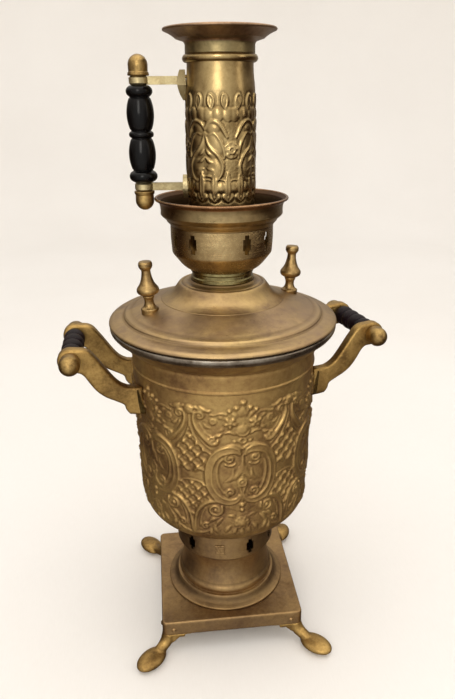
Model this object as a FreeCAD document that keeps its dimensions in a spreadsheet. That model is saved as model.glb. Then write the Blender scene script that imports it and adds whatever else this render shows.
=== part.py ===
import FreeCAD, Part
import math
import os
import Sketcher

# Charcoal samovar, millimetres, +Z up.  The floor is z = 0, the origin is on
# the axis of the vessel and the square base is aligned with X and Y.

os.makedirs("parts", exist_ok=True)
doc = FreeCAD.newDocument("samovar")
V = FreeCAD.Vector
sheet = doc.addObject("Spreadsheet::Sheet", "dims")
ROWS = [0]
NODES = []


class Q:
    """A number with the expression that drives it."""

    def __init__(self, v, e):
        self.v = float(v)
        self.e = e

    def __add__(self, o):
        o = q(o)
        return Q(self.v + o.v, "(%s + %s)" % (self.e, o.e))

    def __radd__(self, o):
        return q(o) + self

    def __sub__(self, o):
        o = q(o)
        return Q(self.v - o.v, "(%s - %s)" % (self.e, o.e))

    def __rsub__(self, o):
        return q(o) - self

    def __mul__(self, o):
        o = q(o)
        return Q(self.v * o.v, "(%s * %s)" % (self.e, o.e))

    def __rmul__(self, o):
        return q(o) * self

    def __truediv__(self, o):
        o = q(o)
        return Q(self.v / o.v, "(%s / %s)" % (self.e, o.e))

    def __neg__(self):
        return Q(-self.v, "(0 - %s)" % self.e)


def q(x):
    if isinstance(x, Q):
        return x
    x = float(x)
    if x < 0:
        return Q(x, "(0 - %.6f)" % -x)
    return Q(x, "%.6f" % x)


def cell(name, value, note=""):
    ROWS[0] += 1
    n = str(ROWS[0])
    sheet.set("A" + n, name)
    sheet.set("B" + n, "%.6f" % float(value))
    sheet.setAlias("B" + n, name)
    if note:
        sheet.set("C" + n, note)
    return Q(value, "dims." + name)


def driven(name, x):
    """A bare number becomes a cell of the sheet; zero stays zero."""
    if isinstance(x, Q):
        return x
    if abs(x) < 1e-9:
        return Q(0.0, "0")
    c = cell(name, abs(x))
    return c if x > 0 else -c


# ------------------------------------------------------------- dimensions

sheet_t = cell("sheet_thickness", 1.2, "rolled and spun brass sheet")
seat = cell("seat_gap", 0.1, "between pieces that rest on each other")

base_half = cell("base_half_side", 73.3, "half of the square plinth")
base_low = cell("base_underside", 21.5, "lower edge of the skirt")
base_top = cell("base_top", 37.7)
base_wall = cell("base_wall", 3.0)
base_hole = cell("base_hole_radius", 48.0)

ring_low = cell("vent_ring_bottom", 95.1)
ring_top = cell("vent_ring_top", 135.0)
ring_r = cell("vent_ring_radius", 51.8)

tube_r = cell("fire_tube_radius", 27.0)
tube_low = cell("fire_tube_bottom", 118.0)
tube_top = cell("fire_tube_top", 396.0)

mouth_top = cell("mouth_top", 341.2, "top of the rim ring")

spigot_r = cell("crown_spigot_radius", 28.2)
neck_low = cell("crown_neck_bottom", 381.0)
neck_top = cell("crown_neck_shoulder", 392.0)

pipe_in = cell("pipe_inner_radius", 28.3)
pipe_low = cell("pipe_bottom", 393.5)
pipe_wall = cell("pipe_wall", 1.1)

grip_x = cell("side_grip_axis_radius", 143.5, "from the axis of the vessel")
grip_z = cell("side_grip_height", 321.0)
grip_half = cell("side_grip_half_length", 27.9)
brk_in = cell("bracket_inner_offset", 28.0)
brk_t = cell("bracket_thickness", 11.0)
rod_r = cell("rod_radius", 2.5)

right_az = cell("right_handle_bearing", 11.5, "degrees from +X")
left_az = cell("left_handle_bearing", 182.4)
pipe_az = cell("pipe_handle_bearing", 174.2)
knob_az = cell("lid_knob_bearing", 17.3)
knob_r = cell("lid_knob_offset", 71.6)

pipe_grip_x = cell("pipe_grip_axis_radius", 68.8)

tap_z = cell("tap_height", 180.0)
tap_y = cell("tap_plug_offset", 128.0)


# ---------------------------------------------------------------- helpers

def origin_plane(body, role):
    return [f for f in body.Origin.OriginFeatures if f.Role == role][0]


def new_body(name):
    b = doc.addObject("PartDesign::Body", name)
    b.Label = name
    return b


def new_sketch(body, name, role="XZ_Plane"):
    sk = body.newObject("Sketcher::SketchObject", name)
    sk.AttachmentSupport = [(origin_plane(body, role), "")]
    sk.MapMode = "FlatFace"
    return sk


def side_of(axis, g, p, val, cons, exprs, k):
    """Distance of a point from the origin along one axis, never negative."""
    if abs(val.v) < 1e-9:
        cons.append(Sketcher.Constraint("PointOnObject", g, p, -2 if axis == "X" else -1))
    elif val.v > 0:
        exprs.append((k + len(cons), val.e))
        cons.append(Sketcher.Constraint("Distance" + axis, -1, 1, g, p, val.v))
    else:
        exprs.append((k + len(cons), (-val).e))
        cons.append(Sketcher.Constraint("Distance" + axis, g, p, -1, 1, -val.v))


def draw(sk, key, pts):
    """Closed outline.  A vertex is (x, y) or (x, y, R); R is the signed
    radius of the arc that leads to the next vertex, positive to the left."""
    n = len(pts)
    co = []
    for i, p in enumerate(pts):
        co.append((driven("%s_x%d" % (key, i), p[0]), driven("%s_y%d" % (key, i), p[1])))
    ids = []
    rads = []
    for i in range(n):
        a = V(co[i][0].v, co[i][1].v, 0)
        c = V(co[(i + 1) % n][0].v, co[(i + 1) % n][1].v, 0)
        if len(pts[i]) < 3 or pts[i][2] is None:
            g = sk.addGeometry(Part.LineSegment(a, c), False)
            ids.append((g, 1, 2))
            rads.append(None)
            continue
        rr = pts[i][2]
        s = 1.0 if q(rr).v > 0 else -1.0
        rq = driven("%s_arc%d" % (key, i), abs(rr)) if not isinstance(rr, Q) else (rr if s > 0 else -rr)
        d = c - a
        ln = d.Length
        h = math.sqrt(max(rq.v ** 2 - ln * ln / 4, 0.0))
        ctr = (a + c) * 0.5 + V(-d.y, d.x, 0) * (s * h / ln)
        aa = math.atan2(a.y - ctr.y, a.x - ctr.x)
        ac = math.atan2(c.y - ctr.y, c.x - ctr.x)
        circ = Part.Circle(ctr, V(0, 0, 1), rq.v)
        if s > 0:
            g = sk.addGeometry(Part.ArcOfCircle(circ, aa, ac), False)
            ids.append((g, 1, 2))
        else:
            g = sk.addGeometry(Part.ArcOfCircle(circ, ac, aa), False)
            ids.append((g, 2, 1))
        rads.append(rq)
    cons = []
    exprs = []
    k = sk.ConstraintCount
    for i in range(n):
        j = (i + 1) % n
        cons.append(Sketcher.Constraint("Coincident", ids[i][0], ids[i][2], ids[j][0], ids[j][1]))
    for i in range(n):
        side_of("X", ids[i][0], ids[i][1], co[i][0], cons, exprs, k)
        side_of("Y", ids[i][0], ids[i][1], co[i][1], cons, exprs, k)
    for i in range(n):
        if rads[i] is not None:
            exprs.append((k + len(cons), rads[i].e))
            cons.append(Sketcher.Constraint("Radius", ids[i][0], rads[i].v))
    sk.addConstraint(cons)
    for i, e in exprs:
        sk.setExpression("Constraints[%d]" % i, e)


def circle(sk, key, x, y, r):
    x = driven(key + "_x", x)
    y = driven(key + "_y", y)
    r = driven(key + "_r", r)
    g = sk.addGeometry(Part.Circle(V(x.v, y.v, 0), V(0, 0, 1), r.v), False)
    k = sk.ConstraintCount
    cons = []
    exprs = []
    if abs(x.v) < 1e-9 and abs(y.v) < 1e-9:
        cons.append(Sketcher.Constraint("Coincident", g, 3, -1, 1))
    else:
        side_of("X", g, 3, x, cons, exprs, k)
        side_of("Y", g, 3, y, cons, exprs, k)
    exprs.append((k + len(cons), r.e))
    cons.append(Sketcher.Constraint("Radius", g, r.v))
    sk.addConstraint(cons)
    for i, e in exprs:
        sk.setExpression("Constraints[%d]" % i, e)


def radius3(p, m, c):
    """Signed radius of the arc from p through m to c."""
    ax, ay, bx, by, cx, cy = p[0], p[1], m[0], m[1], c[0], c[1]
    area = (bx - ax) * (cy - ay) - (by - ay) * (cx - ax)
    la = math.hypot(bx - cx, by - cy)
    lb = math.hypot(ax - cx, ay - cy)
    lc = math.hypot(ax - bx, ay - by)
    r = la * lb * lc / (2.0 * abs(area))
    return r if area > 0 else -r


def shell(key, pts, t, left=True):
    """Open chain along one face of a sheet; returns the closed outline with
    the other face a thickness t away, to the left or right of the chain."""
    n = len(pts)
    co = [(driven("%s_r%d" % (key, i), p[0]), driven("%s_z%d" % (key, i), p[1])) for i, p in enumerate(pts)]
    t = q(t)
    sd = 1.0 if left else -1.0
    tans = []
    for i in range(n - 1):
        ax, ay = co[i][0].v, co[i][1].v
        bx, by = co[i + 1][0].v, co[i + 1][1].v
        dx, dy = bx - ax, by - ay
        ln = math.hypot(dx, dy)
        r = pts[i][2] if len(pts[i]) > 2 else None
        if r is None:
            tans.append(((dx / ln, dy / ln), (dx / ln, dy / ln)))
        else:
            s = 1.0 if r > 0 else -1.0
            h = math.sqrt(max(r * r - ln * ln / 4, 0.0))
            cx, cy = (ax + bx) / 2 - dy * s * h / ln, (ay + by) / 2 + dx * s * h / ln
            ra = abs(r)
            t0 = (-(ay - cy) * s / ra, (ax - cx) * s / ra)
            t1 = (-(by - cy) * s / ra, (bx - cx) * s / ra)
            tans.append((t0, t1))
    off = []
    for i in range(n):
        ns = []
        if i > 0:
            ns.append((-tans[i - 1][1][1], tans[i - 1][1][0]))
        if i < n - 1:
            ns.append((-tans[i][0][1], tans[i][0][0]))
        if len(ns) == 1:
            m = ns[0]
        else:
            dot = ns[0][0] * ns[1][0] + ns[0][1] * ns[1][1]
            m = ((ns[0][0] + ns[1][0]) / (1 + dot), (ns[0][1] + ns[1][1]) / (1 + dot))
        off.append((co[i][0] + t * (sd * m[0]), co[i][1] + t * (sd * m[1])))
    out = []
    for i in range(n):
        r = pts[i][2] if len(pts[i]) > 2 and i < n - 1 else None
        if r is None:
            out.append((co[i][0], co[i][1]))
        else:
            c = driven("%s_bend%d" % (key, i), abs(r))
            out.append((co[i][0], co[i][1], c if r > 0 else -c))
    for i in range(n - 1, -1, -1):
        r = pts[i - 1][2] if i > 0 and len(pts[i - 1]) > 2 else None
        if r is None:
            out.append((off[i][0], off[i][1]))
        else:
            c = out[i - 1][2]
            c = c if r > 0 else -c
            grow = -1.0 if (r > 0) == left else 1.0
            rr = c + t * grow
            out.append((off[i][0], off[i][1], -rr if r > 0 else rr))
    return out


def turn_sketch(body, key, pts):
    sk = new_sketch(body, key + "_profile")
    draw(sk, key, pts)
    rev = body.newObject("PartDesign::Revolution", key + "_turn")
    rev.Profile = sk
    rev.ReferenceAxis = (sk, ["V_Axis"])
    rev.Angle = 360.0
    sk.Visibility = False
    body.Tip = rev
    return rev


def turned(name, pts, place=None):
    b = new_body(name)
    turn_sketch(b, name, pts)
    if place is not None:
        b.Placement = place
    return b


def node(name, obj):
    obj.Label = name
    NODES.append((name, obj))
    return obj


def setq(o, prop, val):
    val = q(val)
    if hasattr(o, prop):
        setattr(o, prop, val.v)
    o.setExpression(prop, val.e)


def prim(kind, name, place=None, **props):
    o = doc.addObject("Part::" + kind, name)
    for k, v in props.items():
        if k == "Polygon":
            o.Polygon = int(v)
            continue
        v = driven("%s_%s" % (name, k.lower()), v) if not isinstance(v, Q) else v
        setq(o, k, v)
    if place is not None:
        o.Placement = place
    return o


def toward(d):
    return FreeCAD.Rotation(V(0, 0, 1), V(*d))


def at(x, y, z, d=None, rot=None):
    r = rot if rot is not None else (toward(d) if d is not None else FreeCAD.Rotation())
    vals = [t.v if isinstance(t, Q) else t for t in (x, y, z)]
    return FreeCAD.Placement(V(*vals), r)


def about_z(deg, place=None):
    deg = deg.v if isinstance(deg, Q) else deg
    p = FreeCAD.Placement(V(0, 0, 0), FreeCAD.Rotation(V(0, 0, 1), deg))
    return p.multiply(place) if place is not None else p


def cyl(name, r, h, place):
    return prim("Cylinder", name, place, Radius=r, Height=h)


def cut(name, base, *tools):
    cur = base
    for i, t in enumerate(tools):
        last = i == len(tools) - 1
        o = doc.addObject("Part::Cut", name if last else "%s_cut%d" % (name, i))
        o.Base = cur
        o.Tool = t
        cur = o
    return cur


def fuse(name, objs):
    o = doc.addObject("Part::MultiFuse", name)
    o.Shapes = objs
    o.Refine = True
    return o


def common(name, a, b):
    o = doc.addObject("Part::MultiCommon", name)
    o.Shapes = [a, b]
    return o


def group(name, objs):
    o = doc.addObject("Part::Compound", name)
    o.Links = objs
    return o


def rivet(name, r, length, head_r, head_h, place):
    """Shank along local +Z from the head's seat; the domed head is below."""
    b = turned(name, [
        (0, head_h + length), (0, 0), (head_r * 0.45, 0),
        (head_r, head_h * 0.8), (head_r, head_h), (r, head_h), (r, head_h + length)], place)
    return b


# ------------------------------------------------------------ base and feet

base = new_body("base_plate_body")
sk = new_sketch(base, "base_square", "XY_Plane")
draw(sk, "base_square", [(-base_half, -base_half), (base_half, -base_half), (base_half, base_half), (-base_half, base_half)])
pad = base.newObject("PartDesign::Pad", "base_block")
pad.Profile = sk
setq(pad, "Length", base_top - base_low)
sk.Visibility = False
base_in = base_half - base_wall
sk = new_sketch(base, "base_hollow_sketch", "XY_Plane")
draw(sk, "base_hollow", [(-base_in, -base_in), (base_in, -base_in), (base_in, base_in), (-base_in, base_in)])
pk = base.newObject("PartDesign::Pocket", "base_hollow")
pk.Profile = sk
pk.Reversed = True
setq(pk, "Length", base_top - base_low - base_wall)
sk.Visibility = False
sk = new_sketch(base, "base_opening_sketch", "XY_Plane")
circle(sk, "base_opening", 0, 0, base_hole)
pk2 = base.newObject("PartDesign::Pocket", "base_opening")
pk2.Profile = sk
pk2.Reversed = True
pk2.Type = "ThroughAll"
sk.Visibility = False
base.setExpression("Placement.Base.z", base_low.e)
base.Placement = at(0, 0, base_low)
doc.recompute()


def picked_edges(shape, test):
    out = []
    for i, e in enumerate(shape.Edges):
        if test(e):
            out.append("Edge%d" % (i + 1))
    return out


def upright_corner(e):
    a, b = e.Vertexes[0].Point, e.Vertexes[-1].Point
    same = abs(a.x - b.x) < 1e-4 and abs(a.y - b.y) < 1e-4 and abs(a.z - b.z) > 5
    return same and abs(abs(a.x) - base_half.v) < 0.01 and abs(abs(a.y) - base_half.v) < 0.01


fl = base.newObject("PartDesign::Fillet", "base_corners")
fl.Base = (pk2, picked_edges(pk2.Shape, upright_corner))
setq(fl, "Radius", cell("base_corner_radius", 5.0))
doc.recompute()


def upper_rim(e):
    top = max(v.Point.z for v in e.Vertexes)
    low = min(v.Point.z for v in e.Vertexes)
    zt = fl.Shape.BoundBox.ZMax
    far = max(max(abs(v.Point.x), abs(v.Point.y)) for v in e.Vertexes)
    return abs(top - zt) < 1e-4 and abs(low - zt) < 1e-4 and far > 60


ch = base.newObject("PartDesign::Chamfer", "base_edge")
ch.Base = (fl, picked_edges(fl.Shape, upper_rim))
setq(ch, "Size", cell("base_edge_chamfer", 1.0))
base.Tip = ch
doc.recompute()

rivet_off = cell("foot_rivet_offset", 61.5, "from the axis, along the side")
rivet_z = cell("foot_rivet_height", 28.0)
tools = []
rivs = []
for k in range(4):
    for side in (0, 1):
        nm = "foot_rivet_%d%s" % (k + 1, "ab"[side])
        if side == 0:
            pl = at(base_half + 1.5, rivet_off, rivet_z, (-1, 0, 0))
            hole = at(base_half + 3, rivet_off, rivet_z, (-1, 0, 0))
        else:
            pl = at(rivet_off, base_half + 1.5, rivet_z, (0, -1, 0))
            hole = at(rivet_off, base_half + 3, rivet_z, (0, -1, 0))
        rivs.append(rivet(nm, 1.5, 9.0, 2.5, 1.4, about_z(90 * k, pl)))
        tools.append(cyl("base_rivet_hole_%d%s" % (k + 1, "ab"[side]), 1.6, 8.0, about_z(90 * k, hole)))
node("base_plate", cut("base_plate", base, group("base_rivet_holes", tools)))
node("foot_rivets", group("foot_rivets", rivs))

D = math.sqrt(0.5)
FOOT = {}


def f_cell(tag, val):
    """One cell for all four feet."""
    key = "foot_" + tag
    if key not in FOOT:
        FOOT[key] = cell(key, val)
    return FOOT[key]


# toe centres as they stand, each in the frame of its own corner; the cast
# legs are not quite on the diagonals
for nm, k, tx, ty in (("rear_right", 0, 83.0, 99.0), ("rear_left", 1, 94.0, 85.5), ("front_left", 2, 85.6, 84.6), ("front_right", 3, 85.0, 86.2)):
    fn = "foot_" + nm
    px = py = 94.5 * D
    reach = math.hypot(tx - px, ty - py)
    dx, dy = (tx - px) / reach, (ty - py) / reach
    yaw = FreeCAD.Rotation(V(0, 0, 1), math.degrees(math.atan2(dy, dx)))
    lug = prim("Box", fn + "_lug", at(50.0, 50.0, 14.0),
               Length=f_cell("lug_side", 20.1), Width=f_cell("lug_side", 20.1), Height=f_cell("lug_height", 19.5))
    # the knee: a quarter turn from upright below the skirt to level at the toe
    bow = prim("Torus", fn + "_knee", None, Radius1=f_cell("knee_bend", 13.5), Radius2=f_cell("knee_radius", 6.6), Angle3=f_cell("knee_sweep", 90.0))
    bow.Placement = FreeCAD.Placement(V(px + 13.5 * dx, py + 13.5 * dy, 21.4), FreeCAD.Rotation(V(-dx, -dy, 0), V(0, 0, -1), V(dy, -dx, 0), "XYZ"))
    neck = prim("Cone", fn + "_neck", at(px + 13.3 * dx, py + 13.3 * dy, 7.9, (dx, dy, -0.13)),
                Radius1=f_cell("knee_radius", 6.6), Radius2=f_cell("neck_end_radius", 4.6), Height=driven(fn + "_neck_length", reach - 12.0))
    root = prim("Ellipsoid", fn + "_root_blank", at(90.5 * D, 90.5 * D, 18.0, rot=FreeCAD.Rotation(V(0, 0, 1), 45)),
                Radius1=f_cell("root_height", 9.0), Radius2=f_cell("root_half_length", 11.0), Radius3=f_cell("root_half_width", 9.0))
    low_box = prim("Box", fn + "_below_skirt", at(30.0, 30.0, 0.0),
                   Length=f_cell("stock_side", 100.0), Width=f_cell("stock_side", 100.0), Height=f_cell("below_skirt", 21.4))
    toe = prim("Ellipsoid", fn + "_toe_blank", at(tx, ty, 4.0, rot=yaw),
               Radius1=f_cell("toe_height", 6.2), Radius2=f_cell("toe_half_length", 18.2), Radius3=f_cell("toe_half_width", 11.8))
    wings = []
    for w in (0, 1):
        b = new_body("%s_wing%d" % (fn, w))
        sk = new_sketch(b, "%s_wing%d_sketch" % (fn, w), "XZ_Plane")
        draw(sk, "%s_wing%d" % (fn, w), [
            (f_cell("wing_start", 43.0), f_cell("wing_top", 21.4)), (f_cell("wing_mid", 54.5), f_cell("wing_mid_z", 18.6)),
            (f_cell("wing_low", 61.5), f_cell("wing_low_z", 11.5)), (f_cell("wing_end", 70.0), f_cell("wing_end_z", 9.5)),
            (f_cell("wing_end", 70.0), f_cell("wing_top", 21.4))])
        pad = b.newObject("PartDesign::Pad", "%s_wing%d_pad" % (fn, w))
        pad.Profile = sk
        setq(pad, "Length", f_cell("wing_thickness", 4.5))
        sk.Visibility = False
        b.Tip = pad
        if w == 0:
            b.Placement = at(0, base_half - 0.2, 0)
        else:
            b.Placement = FreeCAD.Placement(V(base_half.v - 4.7, 0, 0), FreeCAD.Rotation(V(0, 0, 1), 90))
        wings.append(b)
    outside = common(fn + "_outside", fuse(fn + "_leg", [bow, neck, root, toe]), low_box)
    blank = fuse(fn + "_blank", [lug, outside] + wings)
    keep = prim("Box", fn + "_above_floor", at(30.0, 30.0, 0.0),
                Length=f_cell("stock_side", 100.0), Width=f_cell("stock_side", 100.0), Height=f_cell("stock_height", 40.0))
    body_in = common(fn + "_trimmed", blank, keep)
    holes = [cyl("%s_rivet_hole0" % fn, f_cell("rivet_hole", 1.6), f_cell("rivet_hole_depth", 12.0), at(base_half + 1, rivet_off, rivet_z, (-1, 0, 0))),
             cyl("%s_rivet_hole1" % fn, f_cell("rivet_hole", 1.6), f_cell("rivet_hole_depth", 12.0), at(rivet_off, base_half + 1, rivet_z, (0, -1, 0)))]
    o = cut(fn, body_in, holes[0], holes[1])
    o.Placement = about_z(90 * k)
    node(fn, o)

node("ash_floor", turned("ash_floor", [(0, 33.4), (62.0, 33.4), (62.0, 34.6), (0, 34.6)]))

node("pedestal", turned("pedestal", [
    (62.7, base_top + seat), (63.1, 38.6), (62.9, 39.6), (61.6, 40.2), (58.9, 41.1, -7.5), (54.2, 46.2), (53.1, 48.2), (50.3, 48.7, 8.0),
    (50.5, 56.2), (48.7, 58.8, -60.0), (46.3, 76.0, -60.0), (48.5, 91.2), (50.2, 93.4), (50.2, 95.0),
    (48.0, 95.0), (48.0, 93.8), (46.4, 91.0, 62.0), (44.2, 76.0, 62.0), (46.6, 58.0), (47.9, 55.6), (47.6, 50.4), (49.6, 46.9), (52.2, 44.0), (56.0, 39.5), (57.2, base_top + seat)]))

# --------------------------------------------------------------- vent ring

vent = new_body("vent_ring")
turn_sketch(vent, "vent_ring", [
    (46.5, ring_low), (ring_r, ring_low), (ring_r, ring_top), (46.5, ring_top),
    (46.5, ring_top - sheet_t), (ring_r - sheet_t, ring_top - sheet_t),
    (ring_r - sheet_t, ring_low + sheet_t), (46.5, ring_low + sheet_t)])
sk = new_sketch(vent, "vent_hole_sketch")
zc = 106.6
draw(sk, "vent_hole", [(-2.1, zc + 8.5), (-2.1, zc + 5.1), (-4.2, zc + 5.1), (-4.2, zc - 5.1), (-2.1, zc - 5.1), (-2.1, zc - 8.5),
                       (2.1, zc - 8.5), (2.1, zc - 5.1), (4.2, zc - 5.1), (4.2, zc + 5.1), (2.1, zc + 5.1), (2.1, zc + 8.5)])
vp = vent.newObject("PartDesign::Pocket", "vent_hole")
vp.Profile = sk
vp.Reversed = True
vp.Type = "Length"
setq(vp, "Length", cell("vent_cut_depth", 60.0))
sk.Visibility = False
doc.recompute()
pat = vent.newObject("PartDesign::PolarPattern", "vent_holes")
pat.Originals = [vp]
pat.Axis = (sk, ["V_Axis"])
pat.Angle = 288.0
pat.Occurrences = 9
vent.Tip = pat
node("vent_ring", vent)

patch_r = ring_r + seat
pat_b = new_body("vent_seam_patch")
sk = new_sketch(pat_b, "patch_sketch", "XY_Plane")
ang = math.radians(5.6)
r1, r2 = patch_r.v, patch_r.v + 0.9
draw(sk, "patch", [(patch_r * math.cos(ang), patch_r * -math.sin(ang)),
                   (patch_r * math.cos(ang) + 0.9 * math.cos(ang), patch_r * -math.sin(ang) - 0.9 * math.sin(ang), patch_r + 0.9),
                   (patch_r * math.cos(ang) + 0.9 * math.cos(ang), patch_r * math.sin(ang) + 0.9 * math.sin(ang)),
                   (patch_r * math.cos(ang), patch_r * math.sin(ang), -patch_r)])
pad = pat_b.newObject("PartDesign::Pad", "patch_pad")
pad.Profile = sk
setq(pad, "Length", cell("patch_height", 11.0))
sk.Visibility = False
pat_b.Tip = pad
pat_b.Placement = about_z(-101.8, at(0, 0, 101.5))
node("vent_seam_patch", pat_b)

# ------------------------------------------------------------ water vessel

a0, a1, a2 = (53.8, 135.1), (67.7, 136.1), (75.8, 139.6)
b1, b2 = (81.1, 145.8), (84.2, 155.4)
c1, c2 = (84.9, 162.2), (85.2, 175.0)
vessel = turned("vessel_body", shell("vessel", [
    (tube_r + seat, 135.1),
    (a0[0], a0[1], radius3(a0, a1, a2)),
    (a2[0], a2[1], radius3(a2, b1, b2)),
    (b2[0], b2[1], radius3(b2, c1, c2)),
    (c2[0], c2[1]),
    (86.9, 225.7),
    (88.7, 286.5),
    (88.6, 300.6),
    (89.7, 301.7),
    (89.7, 303.1),
    (88.7, 304.2),
    (89.3, 317.2, -3.5),
    (92.2, 321.8),
    (95.2, 324.3),
    (103.0, 333.6),
    (103.0, mouth_top - 0.7)], sheet_t, True))

rivet_y = cell("bracket_rivet_offset", 33.5)
rivet_za = cell("bracket_rivet_low", 270.0)
rivet_zb = cell("bracket_rivet_high", 284.0)
wall_holes = []
b_rivets = []
for nm, az in (("right", right_az), ("left", left_az)):
    for i, sy in enumerate((1, -1)):
        for j, zz in enumerate((rivet_za, rivet_zb)):
            tag = "%s%d%d" % (nm, i, j)
            wall_holes.append(cyl("wall_hole_" + tag, 2.1, 22.5, about_z(az, at(70.0, rivet_y * sy, zz, (1, 0, 0)))))
            b_rivets.append(rivet("wall_rivet_" + tag, 2.0, 13.2, 3.2, 1.8,
                                  about_z(az, at(76.8, rivet_y * sy, zz, (1, 0, 0)))))
wall_holes.append(cyl("wall_hole_tap", 7.15, 20.0, at(0, 72.0, tap_z, (0, 1, 0))))
node("vessel_wall", cut("vessel_wall", vessel, group("wall_holes", wall_holes)))
node("bracket_rivets", group("bracket_rivets", b_rivets))

node("rim_ring", turned("rim_ring", [
    (103.1, 333.7), (105.0, 333.7), (107.2, 336.6, 4.5), (107.8, 339.4, 1.9), (106.6, mouth_top), (101.9, mouth_top),
    (101.9, mouth_top - 0.6), (103.1, mouth_top - 0.6)]))

node("fire_tube", turned("fire_tube", [
    (tube_r - sheet_t, tube_low), (tube_r, tube_low), (tube_r, tube_top), (tube_r - sheet_t, tube_top),
    (tube_r - sheet_t, 121.2), (23.6, 121.2), (23.6, 120.0), (tube_r - sheet_t, 120.0)]))

grate = new_body("grate")
sk = new_sketch(grate, "grate_disc_sketch", "XY_Plane")
circle(sk, "grate_disc", 0, 0, 25.3)
pad = grate.newObject("PartDesign::Pad", "grate_disc")
pad.Profile = sk
setq(pad, "Length", cell("grate_thickness", 3.0))
sk.Visibility = False
sk = new_sketch(grate, "grate_slot_sketch", "XY_Plane")
draw(sk, "grate_slot", [(8.0, -1.8), (19.5, -1.8, 1.9), (19.5, 1.8), (8.0, 1.8, 1.9)])
pk = grate.newObject("PartDesign::Pocket", "grate_slot")
pk.Profile = sk
pk.Reversed = True
pk.Type = "ThroughAll"
sk.Visibility = False
doc.recompute()
pat = grate.newObject("PartDesign::PolarPattern", "grate_slots")
pat.Originals = [pk]
pat.Axis = (sk, ["N_Axis"])
pat.Angle = 360.0
pat.Occurrences = 8
grate.Tip = pat
grate.Placement = at(0, 0, 121.3)
node("grate", grate)

# ------------------------------------------------------------ side handles

wall_cutter = prim("Cone", "wall_cutter", at(0, 0, 240.0), Radius1=87.50, Radius2=89.27, Height=60.0)
S = [(grip_x, grip_z + 11.5), (137.0, 331.9), (131.0, 331.2, None), (125.8, 328.4), (120.4, 321.6), (113.8, 311.9), (107.2, 302.2),
     (101.2, 295.6), (94.4, 292.0), (86.0, 291.4), (76.0, 291.8), (76.0, 262.8), (87.6, 262.3), (93.6, 264.4), (97.2, 269.2),
     (98.9, 274.4), (105.6, 278.4), (115.2, 283.6), (122.6, 290.2), (128.2, 298.4), (132.2, 305.2), (136.4, 308.8), (grip_x, grip_z - 11.5, "boss"), (grip_x + 11.5, grip_z, "boss")]
boss_r = cell("bracket_boss", 11.5)
SQ = [(driven("bracket_x%d" % i, p[0]), driven("bracket_y%d" % i, p[1])) + ((boss_r,) if p[-1] == "boss" else ()) for i, p in enumerate(S)]
caps = []
for hn, az in (("right", right_az), ("left", left_az)):
    for en, y0 in (("front", -1), ("rear", 1)):
        # on the left the local +Y end points to the front
        sy = y0 if hn == "right" else -y0
        bn = "handle_bracket_%s_%s" % (hn, en)
        b = new_body(bn + "_blank")
        sk = new_sketch(b, bn + "_sketch")
        draw(sk, bn, SQ)
        circle(sk, bn + "_rod_hole", grip_x, grip_z, rod_r + 0.15)
        pad = b.newObject("PartDesign::Pad", bn + "_pad")
        pad.Profile = sk
        setq(pad, "Length", brk_t)
        sk.Visibility = False
        b.Tip = pad
        edge = (brk_in + brk_t) if sy > 0 else -brk_in
        b.Placement = about_z(az, at(0, edge, 0))
        holes = [cyl("%s_rivet_hole%d" % (bn, j), 2.1, 18.0, about_z(az, at(74.5, rivet_y * sy, zz, (1, 0, 0))))
                 for j, zz in enumerate((rivet_za, rivet_zb))]
        node(bn, cut(bn, b, wall_cutter, holes[0], holes[1]))
        # domed cap nut on the outer face
        d = (0, sy, 0)
        caps.append(turned("cap_nut_%s_%s" % (hn, en), [
            (2.65, 0), (8.6, 0), (9.3, 1.2), (9.3, 9.0, 10.2), (1.2, 17.3), (0, 17.4), (0, 12.0), (2.65, 12.0)],
            about_z(az, at(grip_x, (brk_in + brk_t + seat) * sy, grip_z, d))))
    gl = [(2.65, 0), (8.2, 0, None)]
    step = grip_half * 2 / 4.0
    prof = [(2.65, 0), (7.6, 0), (8.6, 0.8, 14.5), (8.6, step - 0.5), (7.7, step), (8.6, step + 0.5, 14.5), (8.6, step * 2 - 0.5), (7.7, step * 2),
            (8.6, step * 2 + 0.5, 14.5), (8.6, step * 3 - 0.5), (7.7, step * 3), (8.6, step * 3 + 0.5, 14.5), (8.6, step * 4 - 0.8), (7.6, step * 4), (2.65, step * 4)]
    node("handle_grip_" + hn, turned("handle_grip_" + hn, prof, about_z(az, at(grip_x, -grip_half, grip_z, (0, 1, 0)))))
    node("handle_rod_" + hn, turned("handle_rod_" + hn, [(0, 0), (rod_r, 0), (rod_r, 101.0), (0, 101.0)],
                                    about_z(az, at(grip_x, -50.5, grip_z, (0, 1, 0)))))
node("handle_cap_nuts", group("handle_cap_nuts", caps))

# --------------------------------------------------------------------- tap

ros = turned("tap_rosette_blank", [(7.15, 0), (22.0, 0), (22.0, 8.0), (20.6, 9.4, 3.0), (16.5, 9.8), (14.5, 11.2), (12.0, 11.6), (7.15, 11.6)],
             at(0, 77.0, tap_z, (0, 1, 0)))
ros_cut = prim("Cone", "tap_wall_cutter", at(0, 0, 150.0), Radius1=84.65, Radius2=86.70, Height=60.0)
node("tap_rosette", cut("tap_rosette", ros, ros_cut))
shank = turned("tap_shank", [(0, 0), (7.0, 0), (7.0, 16.8), (11.5, 16.8), (11.5, 19.4), (8.0, 21.0), (7.0, 30.0), (8.6, 32.0), (8.6, 35.0), (7.0, 37.0), (7.0, 56.0), (0, 56.0)],
               at(0, 72.0, tap_z, (0, 1, 0)))
barrel = turned("tap_barrel", [(0, 0), (8.6, 0), (9.8, 1.6), (9.8, 32.4), (11.0, 34.0), (11.0, 36.0), (0, 36.0)], at(0, tap_y, 163.0))
arm = cyl("tap_spout_arm", 6.5, 18.0, at(0, tap_y, tap_z - 4, (0, 1, 0)))
bend = prim("Torus", "tap_spout_bend", None, Radius1=10.0, Radius2=6.5, Angle3=90.0)
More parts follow.
